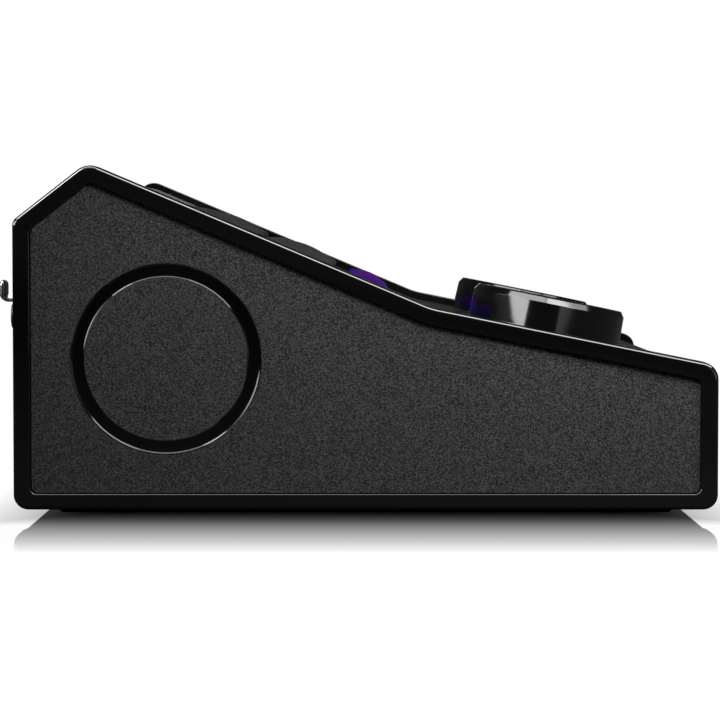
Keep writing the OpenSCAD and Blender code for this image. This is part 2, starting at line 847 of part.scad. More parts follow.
module lit_button(i) {
  color("#5a2a9c") on_slope(columns[i], button_along) key_cap(button_w, button_l, button_rise);
}

// Combination socket shell: flange, round barrel, closed back and the guide of the release tab
module combo_shell(x) {
  barrel_d = mouth_d + 2 * barrel_wall;
  guide_l = latch_reach + latch_travel + guide_spare;
  color("#0e0e10") difference() {
    union() {
      lengthwise(x, [panel_rear, socket_h + combo_lift])
        linear_extrude(combo_flange_t) rounded_rect(combo_w, combo_h, combo_r);
      lengthwise(x, [panel_rear - barrel_l - combo_back, socket_h])
        cylinder(d = barrel_d, h = combo_back + barrel_l + combo_flange_t / 2);
      translate([x - combo_slot_w / 2, y_front + panel_rear - guide_l, rim_z + socket_h])
        cube([combo_slot_w, guide_l + combo_flange_t / 2, latch_rise + combo_slot_h / 2]);
    }
    lengthwise(x, [panel_rear - barrel_l, socket_h])
      cylinder(d = mouth_d, h = barrel_l + combo_flange_t + over);
    translate([x - latch_w / 2 - slide_gap, y_front + panel_rear - guide_l + over,
               rim_z + socket_h + latch_rise - latch_stem_t / 2 - slide_gap])
      cube([latch_w + 2 * slide_gap, guide_l + combo_flange_t, latch_stem_t + 2 * slide_gap]);
    for (side = [-1, 1])
      lengthwise(x + side * combo_screw_x, [panel_rear - over, socket_h - side * combo_screw_z])
        cylinder(d = pin_hole, h = combo_flange_t + 2 * over);
  }
}

module outer_combo_shell() {
  combo_shell(combo_places[0]);
}

module inner_combo_shell() {
  combo_shell(combo_places[1]);
}

// Core of a combination socket: quarter-inch bore with three contact holes round it
module combo_core(x) {
  core_l = barrel_l + combo_flange_t - over;
  contact_r = (jack_bore + core_d) / 4;
  color("#0c0c0d") lengthwise(x, [panel_rear - barrel_l, socket_h]) difference() {
    cylinder(d = core_d, h = core_l);
    translate([0, 0, core_floor]) cylinder(d = jack_bore, h = core_l);
    for (a = [90, 210, 330])
      rotate([0, 0, a]) translate([contact_r, 0, contact_floor]) cylinder(d = contact_d, h = core_l);
  }
}

module outer_combo_core() {
  combo_core(combo_places[0]);
}

module inner_combo_core() {
  combo_core(combo_places[1]);
}

// Release tab: flat stem with an upright rounded tab at its end
module latch(x) {
  tab_s = depth + latch_out - tab_t / 2;
  stem_h = socket_h + latch_rise;
  color("#c8c8cc") {
    translate([x - latch_w / 2, y_front + panel_rear - latch_reach, rim_z + stem_h - latch_stem_t / 2])
      cube([latch_w, tab_s - panel_rear + latch_reach, latch_stem_t]);
    across(x - latch_w / 2, x + latch_w / 2) {
      translate([tab_s, stem_h - latch_stem_t / 2 + tab_t / 2]) circle(d = tab_t);
      translate([tab_s, stem_h - latch_stem_t / 2 + tab_h - tab_t / 2]) circle(d = tab_t);
      translate([tab_s - tab_t / 2, stem_h - latch_stem_t / 2 + tab_t / 2]) square([tab_t, tab_h - tab_t]);
    }
  }
}

module outer_latch() {
  latch(combo_places[0]);
}

module inner_latch() {
  latch(combo_places[1]);
}

module combo_screws() {
  color("#2a2a2c") for (x = combo_places, side = [-1, 1])
    lengthwise(x + side * combo_screw_x, [panel_rear + combo_flange_t, socket_h - side * combo_screw_z])
      screw(combo_flange_t + sheet_t + combo_screw_bite);
}

// Quarter-inch socket: case, threaded bushing and bore; its mouth faces +Z at the panel's face
module jack() {
  color("#161618") difference() {
    union() {
      translate([-jack_side / 2, -jack_side / 2, -sheet_t - jack_l]) cube([jack_side, jack_side, jack_l]);
      translate([0, 0, -sheet_t - over]) cylinder(d = jack_bush_d, h = sheet_t + over + nut_t);
    }
    translate([0, 0, -sheet_t - jack_l + jack_floor]) cylinder(d = jack_bore, h = jack_l + sheet_t + nut_t);
  }
}

module at_line_jacks(i) {
  lengthwise(line_x + i * line_pitch, [panel_rear, socket_h]) children();
}

module at_front_jack(side) {
  translate([side * phones_x, y_front + panel_inset, rim_z + phones_h]) rotate([90, 0, 0]) children();
}

module left_line_jack() {
  at_line_jacks(0) jack();
}

module right_line_jack() {
  at_line_jacks(1) jack();
}

module instrument_jack() {
  at_front_jack(-1) jack();
}

module phones_jack() {
  at_front_jack(1) jack();
}

module jack_nut() {
  difference() {
    cylinder(d = jack_nut_d, h = nut_t);
    translate([0, 0, -over]) cylinder(d = jack_bush_d + 2 * seam, h = nut_t + 2 * over);
  }
}

module jack_nuts() {
  color("#3a3a3c") {
    for (i = [0, 1]) at_line_jacks(i) jack_nut();
    for (side = [-1, 1]) at_front_jack(side) jack_nut();
  }
}

// Data socket: drawn metal shell with rounded ends, standing on the main board
module usb_shell() {
  color("#b4b4b8") lengthwise(0, [panel_rear - usb_l, usb_z]) difference() {
    linear_extrude(usb_l) rounded_rect(usb_w, usb_h, usb_r);
    translate([0, 0, usb_back])
      linear_extrude(usb_l) rounded_rect(usb_w - 2 * usb_wall, usb_h - 2 * usb_wall, usb_r - usb_wall);
  }
}

module usb_tongue() {
  root = y_front + panel_rear - usb_l + usb_back;
  color("#101012") translate([-usb_tongue_w / 2, root, rim_z + usb_z - usb_tongue_t / 2])
    cube([usb_tongue_w, usb_l - 2 * usb_back, usb_tongue_t]);
}

// Where a ribbon leaves each control board, with the slope of that board
ribbon_tops = [
  [on_slope_point(button_along, board_drop + board_t), slope_angle],
  [on_front_point(knob_along + knob_board_reach - ribbon_inset, board_drop + board_t), front_angle]
];

// Flat ribbons from the control boards straight down to the main board's sockets
module ribbon_cables() {
  foot = main_z + board_t + ribbon_socket_h;
  color("#7a7a80") for (ribbon = ribbon_tops) {
    top = ribbon[0];
    skew = ribbon_t / 2 * tan(ribbon[1]);
    across(-ribbon_w / 2, ribbon_w / 2) polygon([
      [top[0] - ribbon_t / 2, foot],
      [top[0] + ribbon_t / 2, foot],
      [top[0] + ribbon_t / 2, top[1] + skew],
      [top[0] - ribbon_t / 2, top[1] - skew]
    ]);
  }
}

module ribbon_sockets() {
  l = 2 * ribbon_socket_h;
  w = ribbon_w + 2 * ribbon_socket_wall;
  color("#d0d0c8") for (ribbon = ribbon_tops)
    translate([-w / 2, y_front + ribbon[0][0] - l / 2, rim_z + main_z + board_t])
      cube([w, l, ribbon_socket_h]);
}

left_cheek();
right_cheek();
left_side_panel();
right_side_panel();
left_ring();
right_ring();
top_panel();
front_panel();
rear_panel();
bottom_pan();
feet();
cheek_screws();
rear_panel_screws();
main_board();
board_standoffs();
board_screws();
key_board();
knob_board();
control_board_screws();
key_switches();
button_switches();
meter_lens();
meter_lamps();
left_pot();
right_pot();
pot_nuts();
left_knob();
right_knob();
left_knob_shaft();
right_knob_shaft();
for (i = [0 : key_count - 1]) key(i);
for (i = [0 : key_columns - 1]) lit_button(i);
outer_combo_shell();
inner_combo_shell();
outer_combo_core();
inner_combo_core();
outer_latch();
inner_latch();
combo_screws();
left_line_jack();
right_line_jack();
instrument_jack();
phones_jack();
jack_nuts();
usb_shell();
usb_tongue();
ribbon_cables();
ribbon_sockets();
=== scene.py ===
import json
import math

import bmesh
import bpy
import numpy as np
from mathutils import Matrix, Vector

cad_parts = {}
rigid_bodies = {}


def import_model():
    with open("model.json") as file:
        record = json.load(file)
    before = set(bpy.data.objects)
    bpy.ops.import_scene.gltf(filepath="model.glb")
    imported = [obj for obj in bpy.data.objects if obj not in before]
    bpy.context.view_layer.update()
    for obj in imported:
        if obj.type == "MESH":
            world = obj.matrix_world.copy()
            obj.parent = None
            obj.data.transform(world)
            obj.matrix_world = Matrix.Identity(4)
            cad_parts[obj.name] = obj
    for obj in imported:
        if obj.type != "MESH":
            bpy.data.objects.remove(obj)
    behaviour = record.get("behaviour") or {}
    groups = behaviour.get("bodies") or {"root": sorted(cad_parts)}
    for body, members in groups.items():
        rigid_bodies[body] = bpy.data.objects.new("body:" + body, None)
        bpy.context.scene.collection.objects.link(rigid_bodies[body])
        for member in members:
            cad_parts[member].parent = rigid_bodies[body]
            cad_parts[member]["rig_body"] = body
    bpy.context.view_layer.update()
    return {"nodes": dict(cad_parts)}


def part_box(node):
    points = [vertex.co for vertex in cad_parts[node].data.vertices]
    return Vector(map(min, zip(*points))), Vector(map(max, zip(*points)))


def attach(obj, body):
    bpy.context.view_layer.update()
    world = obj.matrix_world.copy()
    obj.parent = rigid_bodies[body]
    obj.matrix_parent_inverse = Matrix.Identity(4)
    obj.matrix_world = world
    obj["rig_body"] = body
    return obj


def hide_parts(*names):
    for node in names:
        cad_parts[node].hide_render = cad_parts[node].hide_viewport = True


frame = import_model()

# Looks of a wedge-shaped desktop audio interface. Sizes are in millimetres and meshes in metres;
# +X is the user's right, the front faces -Y and +Z is up.
MM = 0.001

# Body: the box of a cheek gives its extent. Corners are measured behind its front edge and above
# its foot
CHEEK_LOW, CHEEK_HIGH = (np.array(corner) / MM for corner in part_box("right_cheek"))
HALF_WIDTH = CHEEK_HIGH[0]
CHEEK_INNER = CHEEK_LOW[0]
Y_FRONT = CHEEK_LOW[1]
RIM_Z = CHEEK_LOW[2]
DEPTH = CHEEK_HIGH[1] - CHEEK_LOW[1]
FRONT_TOP = np.array((0.0, 33.9))
BEND = np.array((67.2, 47.4))
APEX = np.array((DEPTH - 17.5, 81.2))
REAR_TOP = np.array((DEPTH, 67.6))
CORNERS = np.array([(0.0, 0.0), (DEPTH, 0.0), REAR_TOP, APEX, BEND, FRONT_TOP])
CORNER_RADII = np.array((3.5, 3.5, 2.4, 4.8, 20.0, 4.2))
RIM_W = 4.0
RIM_WIDTHS = np.array((3.7, RIM_W, RIM_W, RIM_W, RIM_W, RIM_W))
EDGE_FILLET = 0.9
LIP_FILLET = 0.22
POCKET_DEPTH = 2.6
POCKET_R = 1.5
SIDE_RECESS = 1.1
SIDE_PANEL_T = 1.5
SIDE_FACE = HALF_WIDTH - SIDE_RECESS
SEAM = 0.1
RING_CENTRE = np.array((DEPTH - 35.7, 35.3))
RING_OUTER = 22.4
RING_INNER = 19.35
RING_LIP = 0.3
DISC_R = RING_INNER - RING_LIP
RING_GROOVE = 0.7
RING_T = 0.3
PANEL_INSET = 2.2
PANEL_T = 2.2

# Controls
KNOB_X = 52.4
KNOB_ALONG = 38.4
KNOB_R = 19.35
KNOB_RISE = 9.6
KNOB_GAP = 0.5
KNOB_EDGE = 0.9
KNOB_BEVEL = 1.4
KNOB_DRAFT = math.radians(2.0)
KNOB_WALL = 3.0
KNOB_TOP_R = KNOB_R - (KNOB_RISE - KNOB_GAP) * math.tan(KNOB_DRAFT)
DISH = 0.5
DISH_R = KNOB_TOP_R - 4 * KNOB_EDGE
SHAFT_R = 3.05
COLUMNS = KNOB_X * np.linspace(-1.0, 1.0, 4)
KEY_GAP = 3.0
KEY_L = 18.6
KEY_W = COLUMNS[1] - COLUMNS[0] - KEY_GAP
FIRST_ROW = 31.1
KEY_ROWS = (FIRST_ROW, FIRST_ROW + KEY_L + KEY_GAP)
KEY_RISES = (2.7, 3.0)
KEY_CROWN = 1.0
KEY_EDGE = 1.0
KEY_R = 3.0
KEY_FLANGE = 1.0
FLANGE_T = 1.0
BUTTON_L = 11.5
BUTTON_W = 24.0
BUTTON_RISE = 2.7
BUTTON_EDGE = 0.9
BUTTON_ALONG = 72.0
METER_L = 14.4
METER_W = 2 * KNOB_X + KEY_W
METER_ALONG = 11.8
METER_RISE = 0.9
METER_CROWN = 0.2
METER_EDGE = 0.5
METER_LAMPS = 12

# Rear and front sockets, feet
SOCKET_H = 34.6
COMBO_X = {"outer": -77.5, "inner": -46.5}
PANEL_REAR = DEPTH - PANEL_INSET
LATCH_W = 7.0
LATCH_STEM_T = 0.8
LATCH_RISE = 14.0
LATCH_REACH = 10.0
LATCH_OUT = 5.8
TAB_T = 1.9
TAB_H = 5.3
LINE_X = (26.0, 52.0)
FRONT_JACK_X = (-76.0, 76.0)
FRONT_JACK_H = 16.0
NUT_R = 7.9
NUT_BORE = 6.0
NUT_T = 1.8
FOOT_R = 7.0
FOOT_T = 1.6
FOOT_INSET = 24.0

# Meshes: points closer than MERGE metres are one, faces within FLAT_ANGLE of each other are joined,
# and edges sharper than SMOOTH_ANGLE stay sharp; EASED_ANGLE is the least turn of an eased edge
MERGE = 2e-6
SLIVER = 1e-7
FLAT_ANGLE = math.radians(0.4)
SMOOTH_ANGLE = math.radians(35.0)
EASED_ANGLE = math.radians(50.0)


# Mesh helpers


def unit(v):
    """Vectors along the last axis, scaled to length one."""
    return v / np.linalg.norm(v, axis=-1, keepdims=True)


def turned(v, angle):
    """Plane vectors turned by an angle: (x cos - y sin, x sin + y cos)."""
    c, s = np.cos(angle), np.sin(angle)
    return np.stack([v[..., 0] * c - v[..., 1] * s, v[..., 0] * s + v[..., 1] * c], axis=-1)


def rounded_path(corners, radii, steps=6):
    """An open path with its inner corners rounded. At a corner the path turns by t; an arc of
    radius r starts r tan(t/2) before the corner, and its points are the centre minus r times the
    turning normal."""
    corners = np.asarray(corners, float)
    inner = corners[1:-1]
    a = unit(inner - corners[:-2])
    b = unit(corners[2:] - inner)
    turn = np.arctan2(a[:, 0] * b[:, 1] - a[:, 1] * b[:, 0], (a * b).sum(1))
    side = np.sign(turn)[:, None]
    r = np.asarray(radii, float)[:, None]
    normal = np.stack([-a[:, 1], a[:, 0]], axis=-1)
    centre = inner - a * r * np.tan(np.abs(turn) / 2)[:, None] + side * r * normal
    share = np.linspace(0.0, 1.0, steps + 1)
    swung = turned(normal[:, None], turn[:, None] * share)
    arcs = centre[:, None] - (side * r)[:, None] * swung
    return np.concatenate([corners[:1], arcs.reshape(-1, 2), corners[-1:]])


def body_outline(insets, softest, steps=10, fill=0):
    """The body's side outline with every edge moved inwards by its inset, one ring for each row of
    insets. Two moved edges meet at q = p + ((da - c db) na + (db - c da) nb) / (1 - c^2), where
    c = na.nb, and an arc tangent to both takes q's place, of the corner's radius less the inset but
    no less than softest. fill adds points along the straight edges."""
    insets = np.asarray(insets, float)
    a = unit(CORNERS - np.roll(CORNERS, 1, axis=0))
    b = np.roll(a, -1, axis=0)
    na = np.stack([-a[:, 1], a[:, 0]], axis=-1)
    nb = np.roll(na, -1, axis=0)
    c = (na * nb).sum(1)
    da = np.roll(insets, 1, axis=-1)[..., None]
    db = insets[..., None]
    q = CORNERS + ((da - c[:, None] * db) * na + (db - c[:, None] * da) * nb) / (1 - c**2)[:, None]
    turn = np.arctan2(a[:, 0] * b[:, 1] - a[:, 1] * b[:, 0], (a * b).sum(1))
    side = np.sign(turn)
    mean = (da + db)[..., 0] / 2
    r = np.maximum(CORNER_RADII - side * mean, np.asarray(softest, float)[..., None])
    centre = q + (side * r)[..., None] * (na + nb) / (1 + c)[:, None]
    swung = turned(na[:, None], turn[:, None] * np.linspace(0.0, 1.0, steps + 1))
    arcs = centre[..., None, :] - (side * r)[..., None, None] * swung
    share = np.linspace(0.0, 1.0, fill + 2)[1:-1, None]
    start = arcs[..., -1:, :]
    straight = start + (np.roll(arcs[..., :1, :], -1, axis=-3) - start) * share
    ring = np.concatenate([arcs, straight], axis=-2)
    return ring.reshape(*insets.shape[:-1], -1, 2)


def rounded_rect(width, length, radius, steps=8):
    """Ring of a rectangle with quarter-circle corners: each corner's centre plus its radius turned
    through a quarter."""
    quarter = np.linspace(0.0, np.pi / 2, steps + 1) + np.arange(4)[:, None] * np.pi / 2
    x = (width / 2 - radius) * np.array((1, -1, -1, 1))[:, None] + radius * np.cos(quarter)
    y = (length / 2 - radius) * np.array((1, 1, -1, -1))[:, None] + radius * np.sin(quarter)
    return np.stack([x.ravel(), y.ravel()], axis=-1)


def revolved(profile, turns):
    """Rings of a surface of revolution: each (radius, height) of a profile goes round local z."""
    angle = np.linspace(0.0, 2 * np.pi, turns, endpoint=False)
    r, z = np.asarray(profile, float).T[..., None]
    return np.stack([r * np.cos(angle), r * np.sin(angle), z + 0 * angle], axis=-1)


def lifted(rings, heights):
    """Plane rings set at their heights along local z."""
    z = np.broadcast_to(np.asarray(heights, float)[:, None, None], (*rings.shape[:2], 1))
    return np.concatenate([rings, z], axis=-1)


def placed(points, origin, axes):
    """Local points carried to the body: origin + x * axes[0] + y * axes[1] + z * axes[2]."""
    return points @ np.asarray(axes, float) + np.asarray(origin, float)


def lofted(name, *bodies):
    """A mesh of closed bodies: each is an array of rings, joined by quads, with closed ends."""
    points, faces, first = [], [], 0
    for rings in bodies:
        rows, columns = rings.shape[:2]
        row = np.arange(rows - 1)[:, None] * columns + first
        here = np.arange(columns)
        after = (here + 1) % columns
        ahead = row + columns
        quads = np.stack([row + here, row + after, ahead + after, ahead + here], axis=-1)
        faces += quads.reshape(-1, 4).tolist()
        faces += [(first + here[::-1]).tolist(), (first + (rows - 1) * columns + here).tolist()]
        points.append(rings.reshape(-1, 3))
        first += rows * columns
    mesh = bpy.data.meshes.new(name)
    mesh.from_pydata(np.concatenate(points) * MM, [], faces)
    finish_mesh(mesh)
    return mesh


def finish_mesh(mesh, join_flat=False):
    """Merges doubles, joins flat faces where asked, turns normals outwards and smooths by angle."""
    work = bmesh.new()
    work.from_mesh(mesh)
    bmesh.ops.remove_doubles(work, verts=work.verts, dist=MERGE)
    bmesh.ops.dissolve_degenerate(work, edges=work.edges, dist=SLIVER)
    if join_flat:
        bmesh.ops.dissolve_limit(work, angle_limit=FLAT_ANGLE, verts=work.verts, edges=work.edges)
    bmesh.ops.recalc_face_normals(work, faces=work.faces)
    work.to_mesh(mesh)
    work.free()
    mesh.polygons.foreach_set("use_smooth", np.ones(len(mesh.polygons), bool))
    mesh.set_sharp_from_angle(angle=SMOOTH_ANGLE)
    mesh.update()


def dress(mesh, slot):
    """Gives a mesh the finish of its slot."""
    mesh.materials.clear()
    mesh.materials.append(FINISHES[slot])


def add_piece(name, mesh, body, slot, *nodes):
    """Shows a mesh as a piece that rides on a body and stands for the CAD nodes named."""
    dress(mesh, slot)
    piece = bpy.data.objects.new(name, mesh)
    bpy.context.scene.collection.objects.link(piece)
    even = piece.modifiers.new("even_normals", "WEIGHTED_NORMAL")
    even.keep_sharp = True
    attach(piece, body)
    if nodes:
        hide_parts(*nodes)
    return piece


def add_eased(node, slot, ease):
    """Shows a CAD node as a merged copy of its mesh whose edges are eased by a small bevel."""
    source = frame["nodes"][node]
    mesh = source.data.copy()
    mesh.name = node + "_eased"
    finish_mesh(mesh, join_flat=True)
    piece = add_piece(node + "_eased", mesh, source["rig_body"], slot, node)
    bevel = piece.modifiers.new("eased_edges", "BEVEL")
    bevel.width = ease * MM
    bevel.segments = 2
    bevel.limit_method = "ANGLE"
    bevel.angle_limit = EASED_ANGLE
    piece.modifiers.move(len(piece.modifiers) - 1, 0)


# Shader helpers


class Signal:
    """A shader value: Python arithmetic on it adds Math nodes."""

    def __init__(self, shader, socket):
        self.shader = shader
        self.socket = socket

    def __add__(self, other):
        return self.shader.math("ADD", self, other)

    __radd__ = __add__

    def __sub__(self, other):
        return self.shader.math("SUBTRACT", self, other)

    def __rsub__(self, other):
        return self.shader.math("SUBTRACT", other, self)

    def __mul__(self, other):
        return self.shader.math("MULTIPLY", self, other)

    __rmul__ = __mul__

    def __truediv__(self, other):
        return self.shader.math("DIVIDE", self, other)

    def __rtruediv__(self, other):
        return self.shader.math("DIVIDE", other, self)


class Shader:
    """A node tree under construction."""

    def __init__(self, owner):
        owner.use_nodes = True
        self.owner = owner
        self.tree = owner.node_tree
        self.tree.nodes.clear()

    def node(self, kind, settings=None, sockets=None, output=0):
        """Adds any node: its settings are set first, then the values or links of its sockets."""
        made = self.tree.nodes.new(kind)
        for name, value in (settings or {}).items():
            setattr(made, name, value)
        for name, value in (sockets or {}).items():
            if isinstance(value, Signal):
                self.tree.links.new(value.socket, made.inputs[name])
            else:
                made.inputs[name].default_value = value
        return Signal(self, made.outputs[output]) if made.outputs else made

    def math(self, operation, *operands):
        """A Math node on values or numbers."""
        return self.node("ShaderNodeMath", {"operation": operation}, dict(enumerate(operands)))

    def off_middle(self, value):
        """How far a value lies from the middle of its unit cell: |fract(value) - 1/2|."""
        return self.math("ABSOLUTE", self.math("FRACT", value) - 0.5)

    def place(self, stretch=(1.0, 1.0, 1.0)):
        """Object coordinates in metres, stretched along each axis."""
        vector = self.node("ShaderNodeTexCoord", output="Object")
        if stretch == (1.0, 1.0, 1.0):
            return vector
        return self.node("ShaderNodeMapping", None, {"Vector": vector, "Scale": stretch})

    def axis(self, vector, name):
        """One coordinate of a vector."""
        return self.node("ShaderNodeSeparateXYZ", None, {"Vector": vector}, name)

    def noise(self, size, detail=2.0, rough=0.5, stretch=(1.0, 1.0, 1.0)):
        """Noise from 0 to 1 with features of about the given size in mm."""
        sockets = {"Vector": self.place(stretch), "Scale": 1 / (size * MM)}
        sockets |= {"Detail": detail, "Roughness": rough}
        return self.node("ShaderNodeTexNoise", None, sockets)

    def ramp(self, value, low, high, bottom=0.0, top=1.0, kind="SMOOTHSTEP"):
        """A step of a value, smooth or straight: bottom up to low, top from high on."""
        sockets = {"Value": value, "From Min": low, "From Max": high}
        sockets |= {"To Min": bottom, "To Max": top}
        return self.node("ShaderNodeMapRange", {"interpolation_type": kind}, sockets)

    def cells(self, size, output):
        """Irregular cells of about the given size in mm: the distance from a cell's seed, or the
        cell's own colour."""
        sockets = {"Vector": self.place(), "Scale": 1 / (size * MM)}
        return self.node("ShaderNodeTexVoronoi", {"feature": "F1"}, sockets, output)

    def blend(self, factor, a, b):
        """A colour between a and b."""
        return self.node("ShaderNodeMix", {"data_type": "RGBA"}, {0: factor, 6: a, 7: b}, 2)

    def bump(self, height, strength, depth):
        """A normal tilted by a height from 0 to 1 that stands for depth mm."""
        sockets = {"Height": height, "Strength": strength, "Distance": depth * MM}
        return self.node("ShaderNodeBump", None, sockets)

    def surface(self, **sockets):
        """The Principled surface; underscores in the names stand for spaces."""
        named = {name.replace("_", " "): value for name, value in sockets.items()}
        shader = self.node("ShaderNodeBsdfPrincipled", None, named)
        self.node("ShaderNodeOutputMaterial", None, {"Surface": shader})
        return self.owner


def new_finish(name):
    """A new material, to be given its nodes."""
    return Shader(bpy.data.materials.new(name))


def grey(level, tint=0.0):
    """An opaque grey, a little bluer by tint."""
    return (level, level, level * (1 + tint), 1.0)


# Finishes


def gloss_black(name="gloss_black", gloss=0.06, level=0.002):
    """Lacquered black moulding: handling marks vary the gloss, and a faint orange peel bends what
    it reflects."""
    s = new_finish(name)
    marks = s.ramp(s.noise(26.0, detail=4.0, rough=0.62), 0.42, 0.75)
    dust = s.ramp(s.noise(0.9, detail=1.0), 0.7, 0.86)
    return s.surface(
        Base_Color=s.blend(dust * 0.5, grey(level, 0.08), grey(level * 2.2, 0.04)),
        Roughness=gloss + 0.04 * marks + 0.05 * dust,
        Normal=s.bump(s.noise(3.2, detail=1.0), 0.04, 0.02),
        IOR=1.49,
        Coat_Weight=1.0,
        Coat_Roughness=gloss,
        Coat_IOR=1.5,
    )


def stippled_grey():
    """Moulded stipple: domed grains a quarter of a millimetre across, each of its own shade."""
    s = new_finish("stippled_grey")
    grain = 0.24
    shade = s.axis(s.cells(grain, "Color"), "X")
    dome = s.ramp(s.cells(grain, "Distance"), 0.0, 0.75, 1.0, 0.0)
    drift = s.noise(45.0, detail=2.0)
    return s.surface(
        Base_Color=s.blend(shade * shade, grey(0.0105), grey(0.068)),
        Roughness=0.62 + 0.1 * drift - 0.12 * shade,
        Normal=s.bump(dome * (0.5 + 0.5 * shade), 0.5, 0.06),
        Specular_IOR_Level=0.05,
    )


def satin_panel():
    """Satin moulding of the control panel: very fine spark texture and slow changes of sheen."""
    s = new_finish("satin_panel")
    spark = s.noise(0.28, detail=2.0, rough=0.6)
    rub = s.ramp(s.noise(34.0, detail=3.0), 0.4, 0.72)
    return s.surface(
        Base_Color=s.blend(spark, grey(0.004, 0.05), grey(0.009, 0.05)),
        Roughness=0.46 - 0.08 * rub + 0.08 * spark,
        Normal=s.bump(spark, 0.28, 0.05),
        Specular_IOR_Level=0.02,
    )


def powder_coat():
    """Powder-coated sheet: rounded pimples with a dull gleam."""
    s = new_finish("powder_coat")
    pimple = s.noise(0.55, detail=1.5, rough=0.45)
    drift = s.noise(30.0, detail=2.0)
    return s.surface(
        Base_Color=s.blend(pimple, grey(0.01, 0.03), grey(0.02, 0.03)),
        Roughness=0.44 + 0.1 * drift,
        Normal=s.bump(pimple, 0.5, 0.09),
        IOR=1.5,
    )


def foot_rubber():
    """Dull rubber with a fine crumb whose high spots are paler."""
    s = new_finish("foot_rubber")
    crumb = s.noise(0.4, detail=3.0, rough=0.6)
    return s.surface(
        Base_Color=s.blend(s.ramp(crumb, 0.5, 0.8), grey(0.016), grey(0.04)),
        Roughness=0.78 + 0.12 * crumb,
        Normal=s.bump(crumb, 0.5, 0.06),
    )


def drawn_metal(name, base, rough, stretch, streak=0.12):
    """Bare or plated metal: long streaks along the drawing direction vary its shade and gloss."""
    s = new_finish(name)
    lines = s.noise(0.25, detail=3.0, rough=0.6, stretch=stretch)
    cloud = s.noise(9.0, detail=2.0)
    dark = tuple(0.72 * channel for channel in base)
    return s.surface(
        Base_Color=s.blend(lines, (*dark, 1.0), (*base, 1.0)),
        Metallic=1.0,
        Roughness=rough + streak * lines + 0.05 * cloud,
        Normal=s.bump(lines, 0.12, 0.02),
    )


def soft_key():
    """Soft-touch key: a velvety face with a very fine grain, a little polished by fingers."""
    s = new_finish("soft_key")
    grain = s.noise(0.3, detail=2.0, rough=0.6)
    worn = s.ramp(s.noise(8.0, detail=3.0), 0.45, 0.75)
    return s.surface(
        Base_Color=s.blend(grain, grey(0.006, 0.05), grey(0.012, 0.05)),
        Roughness=0.7 - 0.1 * worn + 0.06 * grain,
        Normal=s.bump(grain, 0.3, 0.05),
        Specular_IOR_Level=0.05,
    )


def lit_silicone(foot, normal):
    """Silicone lit from below: violet, bluer down at the panel and brighter over the lamp. Height
    is the distance from the panel's face along its normal, and the lamp's place repeats with the
    columns."""
    s = new_finish("lit_silicone")
    blue, violet, bright = (0.006, 0.012, 0.13), (0.05, 0.002, 0.13), (0.07, 0.003, 0.17)
    blue_top, violet_foot = 1.3, 2.6
    place = s.place()
    x, y, z = (s.axis(place, name) for name in "XYZ")
    height = (y - foot[0] * MM) * normal[0] + (z - foot[1] * MM) * normal[1]
    high = s.ramp(height, blue_top * MM, violet_foot * MM)
    pitch = (COLUMNS[1] - COLUMNS[0]) * MM
    column = x / pitch + 0.5 * len(COLUMNS)
    near = s.ramp(s.off_middle(column), 0.05, 0.36, 1.0, 0.0)
    milk = s.noise(1.2, detail=2.0)
    deep = s.blend(high, (*blue, 1.0), (*violet, 1.0))
    glow = s.blend(high * near * (0.6 + 0.4 * milk), deep, (*bright, 1.0))
    return s.surface(
        Base_Color=s.blend(milk, (0.0005, 0.0003, 0.0008, 1.0), (0.0008, 0.0005, 0.0012, 1.0)),
        Roughness=0.42 + 0.12 * milk,
        Normal=s.bump(milk, 0.15, 0.05),
        Emission_Color=glow,
        Emission_Strength=1.0,
        Specular_IOR_Level=0.01,
    )


def smoked_lens():
    """Smoked lens of the meter: dark gloss, with the unlit windows of its lamps just showing."""
    s = new_finish("smoked_lens")
    pitch = METER_W / METER_LAMPS * MM
    lamp = s.axis(s.place(), "X") / pitch + 0.5 * METER_LAMPS
    window = s.ramp(s.off_middle(lamp), 0.26, 0.3, 1.0, 0.0)
    haze = s.noise(14.0, detail=3.0)
    return s.surface(
        Base_Color=s.blend(window * 0.8, (0.008, 0.008, 0.011, 1.0), (0.036, 0.035, 0.042, 1.0)),
        Roughness=0.2 + 0.1 * haze,
        Normal=s.bump(s.noise(2.5, detail=1.0), 0.04, 0.02),
        Specular_IOR_Level=0.06,
    )


def moulded_black(name, level, rough):
    """Plain engineering plastic with flow marks and a fine tool texture."""
    s = new_finish(name)
    flow = s.noise(6.0, detail=4.0, rough=0.6)
    tool = s.noise(0.35, detail=1.0)
    return s.surface(
        Base_Color=s.blend(flow, grey(level, 0.04), grey(1.7 * level, 0.04)),
        Roughness=rough + 0.1 * flow,
        Normal=s.bump(tool, 0.2, 0.04),
    )


def circuit_board():
    """Green solder resist over copper: square-cornered traces show as paler bands."""
    s = new_finish("circuit_board")
    mesh_size = 6.25
    cells = s.node(
        "ShaderNodeTexVoronoi",
        {"distance": "MANHATTAN", "feature": "DISTANCE_TO_EDGE"},
        {"Vector": s.place(), "Scale": 1 / (mesh_size * MM)},
    )
    trace = s.ramp(cells, 0.06, 0.1, 1.0, 0.0)
    return s.surface(
        Base_Color=s.blend(trace, (0.004, 0.034, 0.016, 1.0), (0.012, 0.085, 0.035, 1.0)),
        Roughness=0.3 + 0.1 * s.noise(4.0),
        Normal=s.bump(trace, 0.3, 0.04),
    )


def ribbon_cable():
    """Flat ribbon: grey insulation ridged over its cores, painted darker in the grooves as shade.
    """
    s = new_finish("ribbon_cable")
    core_pitch = 1.27
    core = s.axis(s.place(), "X") / (core_pitch * MM)
    ridge_and_groove_shade = s.math("PINGPONG", core, 0.5) * 2.0
    return s.surface(
        # Painted shade: the colour is darker down the grooves and paler on the ridges
        Base_Color=s.blend(ridge_and_groove_shade, grey(0.1), grey(0.22)),
        Roughness=0.45 + 0.1 * s.noise(2.0),
        Normal=s.bump(ridge_and_groove_shade, 0.7, 0.3),
    )


